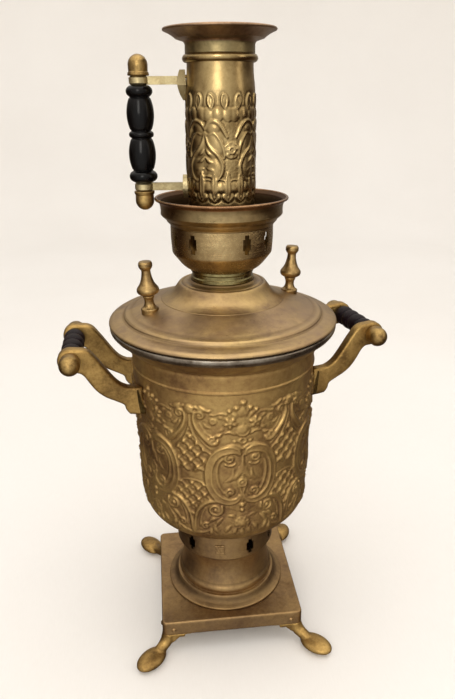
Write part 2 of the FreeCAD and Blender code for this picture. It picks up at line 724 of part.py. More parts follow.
bend.Placement = FreeCAD.Placement(V(0, tap_y.v + 18.0, tap_z.v - 14.0), FreeCAD.Rotation(V(0, 1, 0), V(0, 0, 1), V(1, 0, 0), "XYZ"))
nose = turned("tap_spout_nose", [(0, 0), (7.4, 0), (7.4, 2.6), (6.5, 4.0), (6.5, 16.1), (0, 16.1)], at(0, tap_y + 28.0, 150.0))
tap_blank = fuse("tap_blank", [shank, barrel, arm, bend, nose])
bore1 = cyl("tap_inlet_bore", 4.0, 58.0, at(0, 71.0, tap_z, (0, 1, 0)))
bore2 = cyl("tap_spout_bore", 4.0, 18.05, at(0, tap_y, tap_z - 4, (0, 1, 0)))
bendb = prim("Torus", "tap_bend_bore", None, Radius1=10.0, Radius2=4.0, Angle3=90.0)
bendb.Placement = bend.Placement
bore3 = cyl("tap_nose_bore", 4.0, 17.1, at(0, tap_y + 28.0, 149.0))
plug_bore = prim("Cone", "tap_plug_bore", at(0, tap_y, 162.0), Radius1=5.05, Radius2=6.65, Height=38.0)
node("tap_body", cut("tap_body", tap_blank, fuse("tap_bores", [bore1, bore2, bendb, bore3, plug_bore])))
# the plug: r = 5.00 at z 162 and 6.60 at z 200, so 0.05 mm clear all round
key_plug = turned("tap_key_plug", [(0, 156.5), (2.6, 156.5), (2.6, 163.6), (5.067, 163.6), (6.584, 199.6), (8.4, 199.6), (8.4, 201.6), (4.0, 204.0), (3.4, 208.5), (4.6, 211.0), (0, 212.4)],
                  at(0, tap_y, 0))
ring = prim("Torus", "tap_key_ring", None, Radius1=7.0, Radius2=2.3)
ring.Placement = FreeCAD.Placement(V(0, tap_y.v, 218.6), FreeCAD.Rotation(V(1, 0, 0), 90))
key_blank = fuse("tap_key_blank", [key_plug, ring])
port = cyl("tap_key_port", 3.7, 20.0, at(-10.0, tap_y, tap_z, (1, 0, 0)))
port2 = cyl("tap_key_port_low", 3.7, 10.0, at(0, tap_y, tap_z - 4, (1, 0, 0)))
node("tap_key", cut("tap_key", key_blank, port, port2))
pn = prim("Prism", "tap_plug_nut_blank", at(0, tap_y, 157.6), Polygon=6.0, Circumradius=6.6, Height=5.2)
node("tap_plug_nut", cut("tap_plug_nut", pn, cyl("tap_plug_nut_hole", 2.7, 8.0, at(0, tap_y, 156.0))))
wash = turned("tap_washer_blank", [(7.15, 0), (12.5, 0), (12.5, 6.0), (7.15, 6.0)], at(0, 80.3, tap_z, (0, 1, 0)))
inside = prim("Cone", "tap_inner_wall", at(0, 0, 150.0), Radius1=82.90, Radius2=85.00, Height=60.0)
node("tap_washer", common("tap_washer", wash, inside))
bn = prim("Prism", "tap_back_nut_blank", at(0, 74.0, tap_z, (0, 1, 0)), Polygon=6.0, Circumradius=12.0, Height=6.2)
node("tap_back_nut", cut("tap_back_nut", bn, cyl("tap_back_nut_hole", 7.1, 10.0, at(0, 72.5, tap_z, (0, 1, 0)))))

# --------------------------------------------------------------------- lid

lid_slope = 0.3441
lid_a = cell("lid_cone_foot_radius", 53.2)
lid_az = cell("lid_cone_foot_height", 365.0)
disc = turned("lid_disc_blank", shell("lid_face", [
    (43.0, 365.0 + lid_slope * 10.2), (93.0, 365.0 - lid_slope * 39.8), (95.4, 349.2), (97.5, 348.6, -26.0), (107.2, 345.2, -2.2), (108.3, 343.1)], sheet_t, False))
knob_places = []
for nm, az in (("right", knob_az), ("left", knob_az + 180.0)):
    tilt = FreeCAD.Rotation(V(0, 1, 0), 3.0)
    knob_places.append((nm, az, about_z(az, FreeCAD.Placement(V(knob_r.v, 0, 350.0), tilt))))
stud_holes = [cyl("lid_stud_hole_" + nm, 2.6, 20.0, pl) for nm, az, pl in knob_places]
node("lid_disc", cut("lid_disc", disc, group("lid_stud_holes", stud_holes)))
node("lid_cone", turned("lid_cone", shell("lid_cone_face", [
    (53.7, 365.35), (53.7, 366.1), (44.4, 373.2), (43.9, 375.4, 3.0), (39.6, 377.5), (38.0, 377.0), (31.4, 378.6), (29.6, 380.9)], sheet_t, True)))
node("lid_locating_ring", turned("lid_locating_ring", [
    (91.3, 325.0), (92.5, 325.0), (92.5, 341.35), (104.4, 341.35), (104.4, 342.55), (92.5, 342.55), (92.5, 349.7), (91.3, 350.1)]))
lid_cutter = prim("Cone", "lid_surface_cutter", at(0, 0, 330.1), Radius1=53.2 + 35.0 / lid_slope, Radius2=53.2 - 10.0 / lid_slope, Height=45.0)
nuts = []
for nm, az, pl in knob_places:
    kb = turned("lid_knob_%s_turning" % nm, [
        (0, 4.0), (8.0, 4.0), (8.0, 10.2, 1.6), (7.0, 12.2), (5.6, 13.4, -9.0), (4.5, 20.5), (5.4, 22.6), (5.0, 23.4, None), (9.0, 25.8, 4.2), (9.0, 31.6),
        (7.0, 34.5, -30.0), (4.1, 47.0), (5.6, 49.0), (6.3, 50.6), (6.3, 53.2), (5.4, 54.8), (0, 55.4)], pl)
    trimmed = cut("lid_knob_%s_trimmed" % nm, kb, lid_cutter)
    stud = cyl("lid_knob_%s_stud" % nm, 2.5, 22.0, pl)
    node("lid_knob_" + nm, fuse("lid_knob_" + nm, [trimmed, stud]))
    n6 = prim("Prism", "lid_nut_blank_" + nm, pl.multiply(FreeCAD.Placement(V(0, 0, 1.2), FreeCAD.Rotation())), Polygon=6.0, Circumradius=5.4, Height=3.6)
    nuts.append(cut("lid_nut_" + nm, n6, cyl("lid_nut_hole_" + nm, 2.6, 8.0, pl)))
node("lid_knob_nuts", group("lid_knob_nuts", nuts))

# ------------------------------------------------------------------- crown

node("crown_neck", turned("crown_neck", [
    (tube_r + 0.3, neck_low), (28.6, neck_low), (29.2, 382.0), (29.2, 384.6), (28.3, 385.6), (28.3, 388.6), (29.2, 389.6), (29.2, neck_top), (spigot_r, neck_top),
    (spigot_r, 404.0), (26.4, 404.0), (26.4, 397.0), (tube_r + 0.3, 397.0)]))

drum = new_body("crown_drum")
turn_sketch(drum, "crown_drum", shell("crown_drum_face", [
    (spigot_r + seat, neck_top + seat), (30.4, neck_top + seat, 26.0), (39.1, 399.0, None), (44.9, 406.4, 5.0), (46.0, 409.4), (46.8, 421.0), (46.8, 432.3)], sheet_t, True))
sk = new_sketch(drum, "crown_hole_sketch")
zc = 421.0
draw(sk, "crown_hole", [(-2.1, zc + 8.4), (-2.1, zc + 5.0), (-3.7, zc + 5.0), (-3.7, zc - 5.0), (-2.1, zc - 5.0), (-2.1, zc - 8.4),
                        (2.1, zc - 8.4), (2.1, zc - 5.0), (3.7, zc - 5.0), (3.7, zc + 5.0), (2.1, zc + 5.0), (2.1, zc + 8.4)])
cp = drum.newObject("PartDesign::Pocket", "crown_hole")
cp.Profile = sk
cp.Reversed = True
cp.Type = "Length"
setq(cp, "Length", cell("crown_cut_depth", 60.0))
sk.Visibility = False
doc.recompute()
pat = drum.newObject("PartDesign::PolarPattern", "crown_holes")
pat.Originals = [cp]
pat.Axis = (sk, ["V_Axis"])
pat.Angle = 300.0
pat.Occurrences = 11
drum.Tip = pat
node("crown_drum", drum)

node("crown_gallery", turned("crown_gallery", [
    (44.3, 429.7), (45.5, 429.7), (45.5, 432.4), (46.9, 432.4), (47.2, 433.4), (50.0, 436.6), (50.6, 438.0), (54.4, 441.4), (55.2, 442.6), (55.0, 446.0), (55.3, 450.0), (56.2, 452.4),
    (58.2, 454.2), (59.5, 454.8, 1.15), (59.3, 456.9, 1.15), (57.6, 456.0), (55.2, 453.6), (54.1, 450.4), (53.8, 446.0), (53.9, 443.2), (49.8, 439.6), (49.0, 437.6), (46.0, 434.2), (44.3, 433.6)]))

# -------------------------------------------------------------- flue pipe

tube = turned("pipe_tube_body", shell("pipe_face", [
    (pipe_in + pipe_wall, pipe_low), (pipe_in + pipe_wall, 545.0), (28.2, 558.0), (28.0, 563.0), (28.0, 578.0)], pipe_wall, True))
node("pipe_bead", turned("pipe_bead", [(28.1, 566.9), (29.6, 566.9, 3.0), (29.6, 572.4), (28.1, 572.4)]))
node("pipe_flange", turned("pipe_flange", [
    (28.1, 572.5), (29.2, 572.5), (29.2, 579.4, -4.0), (30.9, 582.1), (37.0, 584.0, -30.0), (46.6, 589.6, 1.2), (46.2, 591.9, 1.2), (45.6, 590.9, 30.0), (36.6, 585.1), (30.2, 583.1, 5.1), (28.1, 579.4)]))

L = about_z(pipe_az)


def on_pipe(place):
    return about_z(pipe_az, place)


for tag, z0, outline in (
        ("upper", 549.0, [(-8.0, 0), (0, -12.0), (8.0, 0), (0, 12.0)]),
        ("lower", 466.0, None)):
    b = new_body("pipe_plate_%s_blank" % tag)
    sk = new_sketch(b, "pipe_plate_%s_sketch" % tag, "YZ_Plane")
    if outline:
        draw(sk, "pipe_plate_" + tag, outline)
    else:
        draw(sk, "pipe_plate_" + tag, [(0, -10.0, 9.6), (7.4, 0, 9.6), (0, 10.0, 9.6), (-7.4, 0, 9.6)])
    pad = b.newObject("PartDesign::Pad", "pipe_plate_%s_pad" % tag)
    pad.Profile = sk
    setq(pad, "Length", cell("pipe_plate_%s_reach" % tag, 11.0 if tag == "upper" else 9.0))
    sk.Visibility = False
    b.Tip = pad
    b.Placement = on_pipe(at(25.0, 0, z0))
    back = cyl("pipe_plate_%s_back" % tag, pipe_in + pipe_wall + seat, 60.0, at(0, 0, z0 - 30))
    hs = [cyl("pipe_plate_%s_hole%d" % (tag, i), 1.6, 20.0, on_pipe(at(20.0, 0, z0 + s * 6.5, (1, 0, 0)))) for i, s in enumerate((1, -1))]
    mid = cyl("pipe_plate_%s_socket" % tag, 1.8 if tag == "upper" else 2.1, 6.0, on_pipe(at(31.0 if tag == "upper" else 30.0, 0, z0 + (2.6 if tag == "upper" else -0.2), (1, 0, 0))))
    stock = b
    if tag == "upper":
        # the diamond is thick at the arm and thins to its tips
        crest = cyl("pipe_plate_upper_crest", 26.0, 60.0, on_pipe(at(10.0, -30.0, 551.5, (0, 1, 0))))
        stock = common("pipe_plate_upper_crested", b, crest)
    node("pipe_plate_" + tag, cut("pipe_plate_" + tag, stock, back, hs[0], hs[1], mid))

tube_holes = []
p_rivets = []
for tag, z0, ends in (("upper", 549.0, (35.5, 34.2)), ("lower", 466.0, (33.9, 33.9))):
    for i, s in enumerate((1, -1)):
        nm = "%s%d" % (tag, i)
        tube_holes.append(cyl("pipe_hole_" + nm, 1.6, 20.0, on_pipe(at(20.0, 0, z0 + s * 6.5, (1, 0, 0)))))
        # domed inside the pipe, filed flush with the plate outside
        p_rivets.append(turned("pipe_rivet_" + nm, [(0, 0), (1.3, 0), (2.7, 1.0), (2.7, 1.4), (1.5, 1.4), (1.5, ends[i] - 25.2), (0, ends[i] - 25.2)],
                               on_pipe(at(25.2, 0, z0 + s * 6.5, (1, 0, 0)))))
node("pipe_tube", cut("pipe_tube", tube, group("pipe_holes", tube_holes)))
node("pipe_rivets", group("pipe_rivets", p_rivets))

for tag, z_low, z_high, face in (("upper", 549.1, 556.4, 36.0), ("lower", 462.2, 469.6, 34.0)):
    zm = (z_low + z_high) / 2
    collar = turned("pipe_arm_%s_collar" % tag, [
        (0, 0), (6.6, 0), (8.2, 1.5), (8.2, z_high - z_low - 1.5), (6.6, z_high - z_low), (0, z_high - z_low)], on_pipe(at(pipe_grip_x, 0, z_low)))
    bar = prim("Box", "pipe_arm_%s_bar" % tag, on_pipe(at(face + 0.1, -2.1, zm - 3.3)), Length=pipe_grip_x - face - 3.0, Width=4.2, Height=6.6)
    # the upper tenon sits low in its arm, clear of the rivet over it
    stub = cyl("pipe_arm_%s_stub" % tag, 1.7 if tag == "upper" else 2.0, 6.0, on_pipe(at(face - 4.0, 0, 551.6 if tag == "upper" else zm, (1, 0, 0))))
    blank = fuse("pipe_arm_%s_blank" % tag, [collar, bar, stub])
    hole = cyl("pipe_arm_%s_hole" % tag, rod_r + 0.15, 20.0, on_pipe(at(pipe_grip_x, 0, z_low - 5)))
    node("pipe_arm_" + tag, cut("pipe_arm_" + tag, blank, hole))

node("pipe_grip", turned("pipe_grip", [
    (2.65, 469.7), (8.0, 469.7), (9.6, 470.6, 4.6), (9.6, 479.0), (8.3, 480.2), (9.4, 481.0, 34.0), (9.6, 505.2), (8.4, 506.8), (9.9, 507.8, 2.9), (9.9, 511.8),
    (8.4, 512.8), (9.6, 514.4, 34.0), (9.4, 538.6), (8.3, 539.8), (9.6, 541.0, 4.4), (9.6, 547.9), (8.0, 549.0), (2.65, 549.0)], on_pipe(at(pipe_grip_x, 0, 0))))
node("pipe_rod", turned("pipe_rod", [(0, 452.6), (rod_r, 452.6), (rod_r, 565.8), (0, 565.8)], on_pipe(at(pipe_grip_x, 0, 0))))
acorn = [(2.65, 0), (8.8, 0), (9.1, 0.8), (8.7, 2.6), (8.1, 3.2), (8.3, 8.4, 8.6), (1.2, 16.7), (0, 16.8), (0, 9.6), (2.65, 9.6)]
node("pipe_nut_upper", turned("pipe_nut_upper", acorn, on_pipe(at(pipe_grip_x, 0, 556.5))))
node("pipe_nut_lower", turned("pipe_nut_lower", acorn, on_pipe(at(pipe_grip_x, 0, 462.1, rot=FreeCAD.Rotation(V(1, 0, 0), 180)))))

doc.recompute()

# the ring and the drum are turned so that their blank places face the front
for b, want in ((vent, -101.8), (drum, -98.4)):
    s = b.Shape
    c = s.Solids[0].CenterOfMass
    now = math.degrees(math.atan2(c.y, c.x))
    b.Placement = about_z(want - now)
doc.recompute()

# --------------------------------------------------------- check and write

bad = []
for o in doc.Objects:
    st = [str(x) for x in getattr(o, "State", [])]
    if "Invalid" in st or "Error" in st:
        bad.append("%s state %s" % (o.Label, st))
total = 0.0
for name, o in NODES:
    s = o.Shape
    if s.isNull() or not s.isValid():
        bad.append("%s shape" % name)
        continue
    if not s.Solids:
        bad.append("%s has no solid" % name)
    bb = s.optimalBoundingBox(True, False) if hasattr(s, "optimalBoundingBox") else s.BoundBox
    print("%-28s solids %2d  vol %10.1f  x %7.1f %7.1f  y %7.1f %7.1f  z %7.1f %7.1f" % (
        name, len(s.Solids), s.Volume, bb.XMin, bb.XMax, bb.YMin, bb.YMax, bb.ZMin, bb.ZMax))
    total += s.Volume
print("nodes", len(NODES), "volume", round(total))
if bad:
    raise RuntimeError("not written: " + "; ".join(bad))
for name, o in NODES:
    o.Shape.exportStep("parts/%s.step" % name)
print("written")
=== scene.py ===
import math

import bmesh
import bpy
import numpy as np
from mathutils import Matrix, Vector


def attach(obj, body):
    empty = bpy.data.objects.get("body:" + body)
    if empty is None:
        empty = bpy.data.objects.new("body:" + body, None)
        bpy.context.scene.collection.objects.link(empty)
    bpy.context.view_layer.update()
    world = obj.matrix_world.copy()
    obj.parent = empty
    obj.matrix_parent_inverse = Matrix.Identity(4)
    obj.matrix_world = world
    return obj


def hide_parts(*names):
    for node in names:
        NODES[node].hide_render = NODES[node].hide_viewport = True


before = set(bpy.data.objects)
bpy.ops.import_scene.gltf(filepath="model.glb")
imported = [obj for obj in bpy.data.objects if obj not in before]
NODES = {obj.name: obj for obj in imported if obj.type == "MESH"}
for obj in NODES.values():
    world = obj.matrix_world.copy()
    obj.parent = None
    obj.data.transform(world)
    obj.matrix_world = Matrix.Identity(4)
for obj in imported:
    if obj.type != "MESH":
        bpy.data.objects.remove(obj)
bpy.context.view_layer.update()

MM = 0.001
PI = math.pi


# ------------------------------------------------------------------ camera
# pinhole of the photograph, in the part's frame

PITCH, ROLL, PAN, TURN = 0.38045, -0.007866, 0.007407, math.radians(-5.8)
R_ = Vector((math.cos(PAN), -math.sin(PAN), 0.0))
F_ = Vector((math.cos(PITCH) * math.sin(PAN), math.cos(PITCH) * math.cos(PAN), -math.sin(PITCH)))
U_ = Vector((math.sin(PITCH) * math.sin(PAN), math.sin(PITCH) * math.cos(PAN), math.cos(PITCH)))
CX = R_ * math.cos(ROLL) + U_ * math.sin(ROLL)
CY = U_ * math.cos(ROLL) - R_ * math.sin(ROLL)
SPIN = Matrix.Rotation(TURN, 3, "Z")
CX, CY, CZ = SPIN @ CX, SPIN @ CY, SPIN @ (-F_)
cam_data = bpy.data.cameras.new("camera")
cam_data.sensor_fit = "AUTO"
cam_data.sensor_width = 36.0
cam_data.lens = 36.0 * 629.57 / 699.0
cam_data.clip_start = 0.02
cam_data.clip_end = 30.0
cam = bpy.data.objects.new("camera", cam_data)
bpy.context.scene.collection.objects.link(cam)
m = Matrix.Identity(4)
for i in range(3):
    m[i][0], m[i][1], m[i][2] = CX[i], CY[i], CZ[i]
m[0][3], m[1][3], m[2][3] = -0.0582, -0.5733, 0.5388
cam.matrix_world = m
bpy.context.scene.camera = cam


# --------------------------------------------------------------- materials

class Net:
    """Short hand for building one node material."""

    def __init__(self, name):
        self.m = bpy.data.materials.new(name)
        self.m.use_nodes = True
        self.t = self.m.node_tree
        self.t.nodes.clear()
        self.out = self.t.nodes.new("ShaderNodeOutputMaterial")
        self.b = self.t.nodes.new("ShaderNodeBsdfPrincipled")
        self.t.links.new(self.b.outputs[0], self.out.inputs[0])
        self.tc = self.t.nodes.new("ShaderNodeTexCoord")
        self.obj = self.tc.outputs["Object"]

    def n(self, kind, **kw):
        x = self.t.nodes.new(kind)
        for k, v in kw.items():
            setattr(x, k, v)
        return x

    def link(self, a, b):
        self.t.links.new(a, b)

    def noise(self, scale, detail=4.0, rough=0.6, dist=0.0, vec=None, seed=0.0):
        x = self.n("ShaderNodeTexNoise")
        x.inputs["Scale"].default_value = scale
        x.inputs["Detail"].default_value = detail
        x.inputs["Roughness"].default_value = rough
        x.inputs["Distortion"].default_value = dist
        v = vec or self.obj
        if seed:
            mp = self.n("ShaderNodeMapping")
            mp.inputs["Location"].default_value = (seed, seed * 1.7, seed * 0.6)
            self.link(v, mp.inputs["Vector"])
            v = mp.outputs[0]
        self.link(v, x.inputs["Vector"])
        return x.outputs["Fac"]

    def voronoi(self, scale, feature="F1", vec=None, rand=1.0):
        x = self.n("ShaderNodeTexVoronoi", feature=feature)
        x.inputs["Scale"].default_value = scale
        x.inputs["Randomness"].default_value = rand
        self.link(vec or self.obj, x.inputs["Vector"])
        return x.outputs["Distance"]

    def ramp(self, fac, stops):
        x = self.n("ShaderNodeValToRGB")
        el = x.color_ramp.elements
        while len(el) > 1:
            el.remove(el[-1])
        for i, (p, c) in enumerate(stops):
            if not isinstance(c, tuple):
                c = (c, c, c)
            e = el[0] if i == 0 else el.new(p)
            e.position = p
            e.color = tuple(c) + (1.0,)
        self.link(fac, x.inputs[0])
        return x.outputs[0]

    def mix(self, fac, a, b, mode="MIX"):
        x = self.n("ShaderNodeMix", data_type="RGBA", blend_type=mode)
        for sock, v in ((x.inputs[0], fac), (x.inputs[6], a), (x.inputs[7], b)):
            if isinstance(v, (int, float)):
                if sock.type == "VALUE":
                    sock.default_value = v
                else:
                    sock.default_value = (v, v, v, 1.0)
            elif isinstance(v, tuple):
                sock.default_value = v + (1.0,)
            else:
                self.link(v, sock)
        return x.outputs[2]

    def math(self, op, a, b=0.0, clamp=False):
        x = self.n("ShaderNodeMath", operation=op, use_clamp=clamp)
        for sock, v in ((x.inputs[0], a), (x.inputs[1], b)):
            if isinstance(v, (int, float)):
                sock.default_value = v
            else:
                self.link(v, sock)
        return x.outputs[0]

    def attr(self, name):
        x = self.n("ShaderNodeAttribute", attribute_name=name, attribute_type="GEOMETRY")
        return x.outputs["Fac"]

    def point(self):
        x = self.n("ShaderNodeNewGeometry")
        return x.outputs["Pointiness"]

    def turned(self, rs, zs):
        """Coordinates for marks left by spinning: they vary with radius and height only."""
        s = self.n("ShaderNodeSeparateXYZ")
        self.link(self.obj, s.inputs[0])
        rr = self.math("SQRT", self.math("ADD", self.math("MULTIPLY", s.outputs[0], s.outputs[0]),
                                         self.math("MULTIPLY", s.outputs[1], s.outputs[1])))
        c = self.n("ShaderNodeCombineXYZ")
        self.link(self.math("MULTIPLY", rr, rs), c.inputs[0])
        self.link(self.math("MULTIPLY", s.outputs[2], zs), c.inputs[1])
        return c.outputs[0]

    def bump(self, height, strength, dist, prev=None):
        x = self.n("ShaderNodeBump")
        x.inputs["Strength"].default_value = strength
        x.inputs["Distance"].default_value = dist
        self.link(height, x.inputs["Height"])
        if prev is not None:
            self.link(prev, x.inputs["Normal"])
        return x.outputs[0]


def brass(name, light, mid, dark, rough=(0.30, 0.50), patch=22.0, spots=(0.10, 0.055, 0.025), spot_amount=0.5,
          metallic=0.92, spin=0.0, pits=0.0, pit_scale=900.0, relief=False, edge=0.0, seed=1.0, haze=None, haze_amount=0.0, below=None, recess_shade=0.60):
    """Old brass: patches of patina, darker specks and the marks of how it was made; with relief, a painted highlight on
    the crests and painted shade in the hollows; with edge, lighter convex edges and darker creases.
    """
    k = Net(name)
    big = k.noise(patch, 5.0, 0.62, 0.6, seed=seed)
    fine = k.noise(patch * 9.0, 4.0, 0.65, 0.2, seed=seed + 3.0)
    mixf = k.math("ADD", k.math("MULTIPLY", big, 0.68), k.math("MULTIPLY", fine, 0.32))
    col = k.ramp(mixf, [(0.36, dark), (0.50, mid), (0.64, light)])
    speck = k.noise(patch * 26.0, 3.0, 0.7, 0.0, seed=seed + 8.0)
    sfac = k.math("MULTIPLY", k.ramp(speck, [(0.60, 0.0), (0.72, 1.0)]), spot_amount)
    col = k.mix(sfac, col, spots)
    if haze is not None:
        hz = k.noise(patch * 0.8, 6.0, 0.7, 1.0, seed=seed + 21.0)
        col = k.mix(k.math("MULTIPLY", k.ramp(hz, [(0.35, 0.0), (0.65, 1.0)]), haze_amount), col, haze)
    if below is not None:
        zs = k.n("ShaderNodeSeparateXYZ")
        k.link(k.obj, zs.inputs[0])
        under = k.math("LESS_THAN", zs.outputs[2], below[0])
        col = k.mix(under, col, k.ramp(mixf, [(0.36, tuple(x * 0.45 for x in below[1])), (0.64, below[1])]))
    rbase = k.math("ADD", k.math("MULTIPLY", mixf, rough[1] - rough[0]), rough[0])
    rbase = k.math("ADD", rbase, k.math("MULTIPLY", sfac, 0.16))
    # painted light: with relief, raised crests get a painted highlight and hollows get painted shade; recess_shade sets
    # how dark the painted shade goes
    if relief:
        h = k.attr("high")
        c = k.attr("hollow")
        col = k.mix(k.math("MULTIPLY", c, recess_shade, clamp=True), col, tuple(x * 0.40 for x in dark))
        col = k.mix(k.math("MULTIPLY", h, 0.36, clamp=True), col, tuple(min(1.0, x * 1.22) for x in light))
        rbase = k.math("ADD", rbase, k.math("MULTIPLY", c, 0.22))
        rbase = k.math("SUBTRACT", rbase, k.math("MULTIPLY", h, 0.10))
    # convex edges are made lighter and creases darker, read from pointiness
    if edge:
        p = k.point()
        col = k.mix(k.math("MULTIPLY", k.ramp(p, [(0.51, 0.0), (0.57, 1.0)]), edge), col, tuple(min(1.0, x * 1.35) for x in light))
        col = k.mix(k.math("MULTIPLY", k.ramp(p, [(0.40, 1.0), (0.49, 0.0)]), edge), col, tuple(x * 0.45 for x in dark))
    k.link(col, k.b.inputs["Base Color"])
    k.link(k.math("MINIMUM", k.math("MAXIMUM", rbase, 0.12), 0.9), k.b.inputs["Roughness"])
    k.b.inputs["Metallic"].default_value = metallic
    nrm = k.bump(k.noise(patch * 1.6, 3.0, 0.5, seed=seed + 5.0), 0.12, 0.004)
    if spin:
        lines = k.noise(1.0, 3.0, 0.75, vec=k.turned(2600.0, 2600.0))
        nrm = k.bump(lines, spin, 0.00030, nrm)
    if pits:
        v = k.voronoi(pit_scale)
        pit = k.ramp(v, [(0.0, 0.0), (0.42, 1.0)])
        gate = k.ramp(k.noise(pit_scale * 0.22, 3.0, 0.6, seed=seed + 13.0), [(0.42, 1.0), (0.60, 0.0)])
        pit = k.math("MAXIMUM", pit, gate)
        nrm = k.bump(pit, pits, 0.0005, nrm)
    grain = k.noise(1500.0, 2.0, 0.6, seed=seed + 17.0)
    nrm = k.bump(grain, 0.16, 0.00018, nrm)
    k.link(nrm, k.b.inputs["Normal"])
    return k.m


M_BODY = brass("body_brass", (0.47, 0.315, 0.115), (0.335, 0.205, 0.075), (0.180, 0.096, 0.038), (0.32, 0.52), 20.0,
               spot_amount=0.30, metallic=0.80, relief=True, seed=1.3, recess_shade=0.42)
M_STAND = brass("stand_brass", (0.400, 0.262, 0.108), (0.290, 0.180, 0.075), (0.150, 0.088, 0.040), (0.28, 0.48), 24.0,
                spot_amount=0.35, metallic=0.90, spin=0.22, seed=2.1, haze=(0.20, 0.135, 0.085), haze_amount=0.35)
M_FOOTRING = brass("pedestal_brass", (0.400, 0.262, 0.108), (0.290, 0.180, 0.075), (0.150, 0.088, 0.040), (0.28, 0.48), 24.0,
                   spot_amount=0.35, metallic=0.90, spin=0.22, relief=True, seed=2.1, haze=(0.20, 0.135, 0.085), haze_amount=0.35, recess_shade=0.70)
M_BASE = brass("base_brass", (0.360, 0.232, 0.098), (0.262, 0.162, 0.070), (0.150, 0.085, 0.038), (0.34, 0.56), 26.0,
               spot_amount=0.5, metallic=0.92, pits=0.30, pit_scale=700.0, edge=0.40, seed=4.2, haze=(0.205, 0.138, 0.088), haze_amount=0.35)
M_CAST = brass("cast_brass", (0.500, 0.325, 0.110), (0.345, 0.215, 0.070), (0.175, 0.102, 0.034), (0.32, 0.54), 42.0,
               spot_amount=0.6, metallic=0.93, pits=0.60, pit_scale=850.0, edge=0.40, seed=6.0)
M_FAST = brass("fastener_brass", (0.480, 0.325, 0.120), (0.315, 0.205, 0.074), (0.150, 0.090, 0.034), (0.24, 0.44), 90.0,
               spot_amount=0.6, metallic=0.96, spin=0.20, pits=0.4, pit_scale=1300.0, seed=7.4)
M_LID = brass("lid_brass", (0.490, 0.345, 0.150), (0.365, 0.250, 0.116), (0.215, 0.138, 0.074), (0.32, 0.52), 16.0,
              spot_amount=0.40, metallic=0.92, spin=0.26, relief=True, seed=9.0, haze=(0.300, 0.200, 0.145), haze_amount=0.50)
M_CONE = brass("cone_brass", (0.500, 0.350, 0.145), (0.370, 0.250, 0.110), (0.215, 0.135, 0.070), (0.28, 0.48), 24.0,
               spot_amount=0.35, metallic=0.94, spin=0.30, relief=True, seed=10.0, haze=(0.290, 0.195, 0.125), haze_amount=0.40)
# the neck's colours are kept dark as painted shade: it sits in the shadow under the crown's bowl
M_BRIGHT = brass("bright_brass", (0.42, 0.37, 0.175), (0.24, 0.20, 0.090), (0.09, 0.068, 0.030), (0.14, 0.32), 34.0,
                 spot_amount=0.5, metallic=1.0, spin=0.35, seed=11.0)
M_CROWN = brass("crown_brass", (0.470, 0.345, 0.170), (0.375, 0.265, 0.125), (0.240, 0.158, 0.074), (0.18, 0.34), 30.0,
                spot_amount=0.35, metallic=1.0, spin=0.60, seed=13.0)
M_RIM = brass("crown_rim_brass", (0.400, 0.235, 0.125), (0.290, 0.160, 0.082), (0.150, 0.078, 0.040), (0.20, 0.38), 26.0,
              spot_amount=0.35, metallic=1.0, spin=0.45, relief=True, seed=14.0, below=(0.4520, (0.44, 0.320, 0.155)), recess_shade=0.85)
M_KNOB = brass("knob_brass", (0.480, 0.330, 0.135), (0.325, 0.212, 0.086), (0.160, 0.098, 0.042), (0.26, 0.46), 80.0,
               spot_amount=0.6, metallic=0.95, spin=0.35, pits=0.25, pit_scale=1300.0, seed=15.0)
M_PIPE = brass("pipe_brass", (0.470, 0.345, 0.160), (0.360, 0.255, 0.112), (0.200, 0.128, 0.052), (0.22, 0.42), 26.0,
               spot_amount=0.35, metallic=1.0, relief=True, seed=17.0, recess_shade=0.40)
M_FLANGE = brass("flange_brass", (0.480, 0.325, 0.200), (0.345, 0.225, 0.138), (0.170, 0.105, 0.065), (0.24, 0.44), 24.0,
                 spot_amount=0.35, metallic=0.96, spin=0.30, edge=0.3, seed=18.0, below=(0.5805, (0.38, 0.295, 0.140)))
M_ARM = brass("arm_brass", (0.520, 0.440, 0.250), (0.390, 0.315, 0.165), (0.210, 0.155, 0.075), (0.32, 0.52), 60.0,
              spot_amount=0.5, metallic=0.90, pits=0.35, pit_scale=1000.0, edge=0.35, seed=30.0)
M_TAP = brass("tap_brass", (0.400, 0.275, 0.100), (0.270, 0.172, 0.060), (0.135, 0.080, 0.030), (0.28, 0.50), 50.0,
              spot_amount=0.5, metallic=0.92, pits=0.3, pit_scale=1000.0, edge=0.3, seed=19.0)
M_NICKEL = brass("nickel_ring", (0.36, 0.325, 0.270), (0.23, 0.195, 0.155), (0.10, 0.078, 0.058), (0.20, 0.40), 40.0,
                 spots=(0.10, 0.07, 0.045), spot_amount=0.5, metallic=0.95, spin=0.4, seed=21.0)
M_SOOT = brass("sooty_brass", (0.16, 0.11, 0.06), (0.075, 0.052, 0.035), (0.022, 0.018, 0.015), (0.55, 0.85), 38.0,
               spots=(0.008, 0.007, 0.006), spot_amount=0.9, metallic=0.60, seed=23.0)
M_IRON = brass("cast_iron", (0.060, 0.045, 0.036), (0.030, 0.024, 0.021), (0.012, 0.011, 0.010), (0.60, 0.85), 60.0,
               spots=(0.12, 0.045, 0.018), spot_amount=0.7, metallic=0.55, pits=0.8, pit_scale=1200.0, seed=25.0)
M_STEEL = brass("steel_rod", (0.36, 0.34, 0.31), (0.24, 0.22, 0.20), (0.12, 0.10, 0.08), (0.30, 0.55), 120.0,
                spots=(0.10, 0.05, 0.025), spot_amount=0.7, metallic=0.95, seed=27.0)


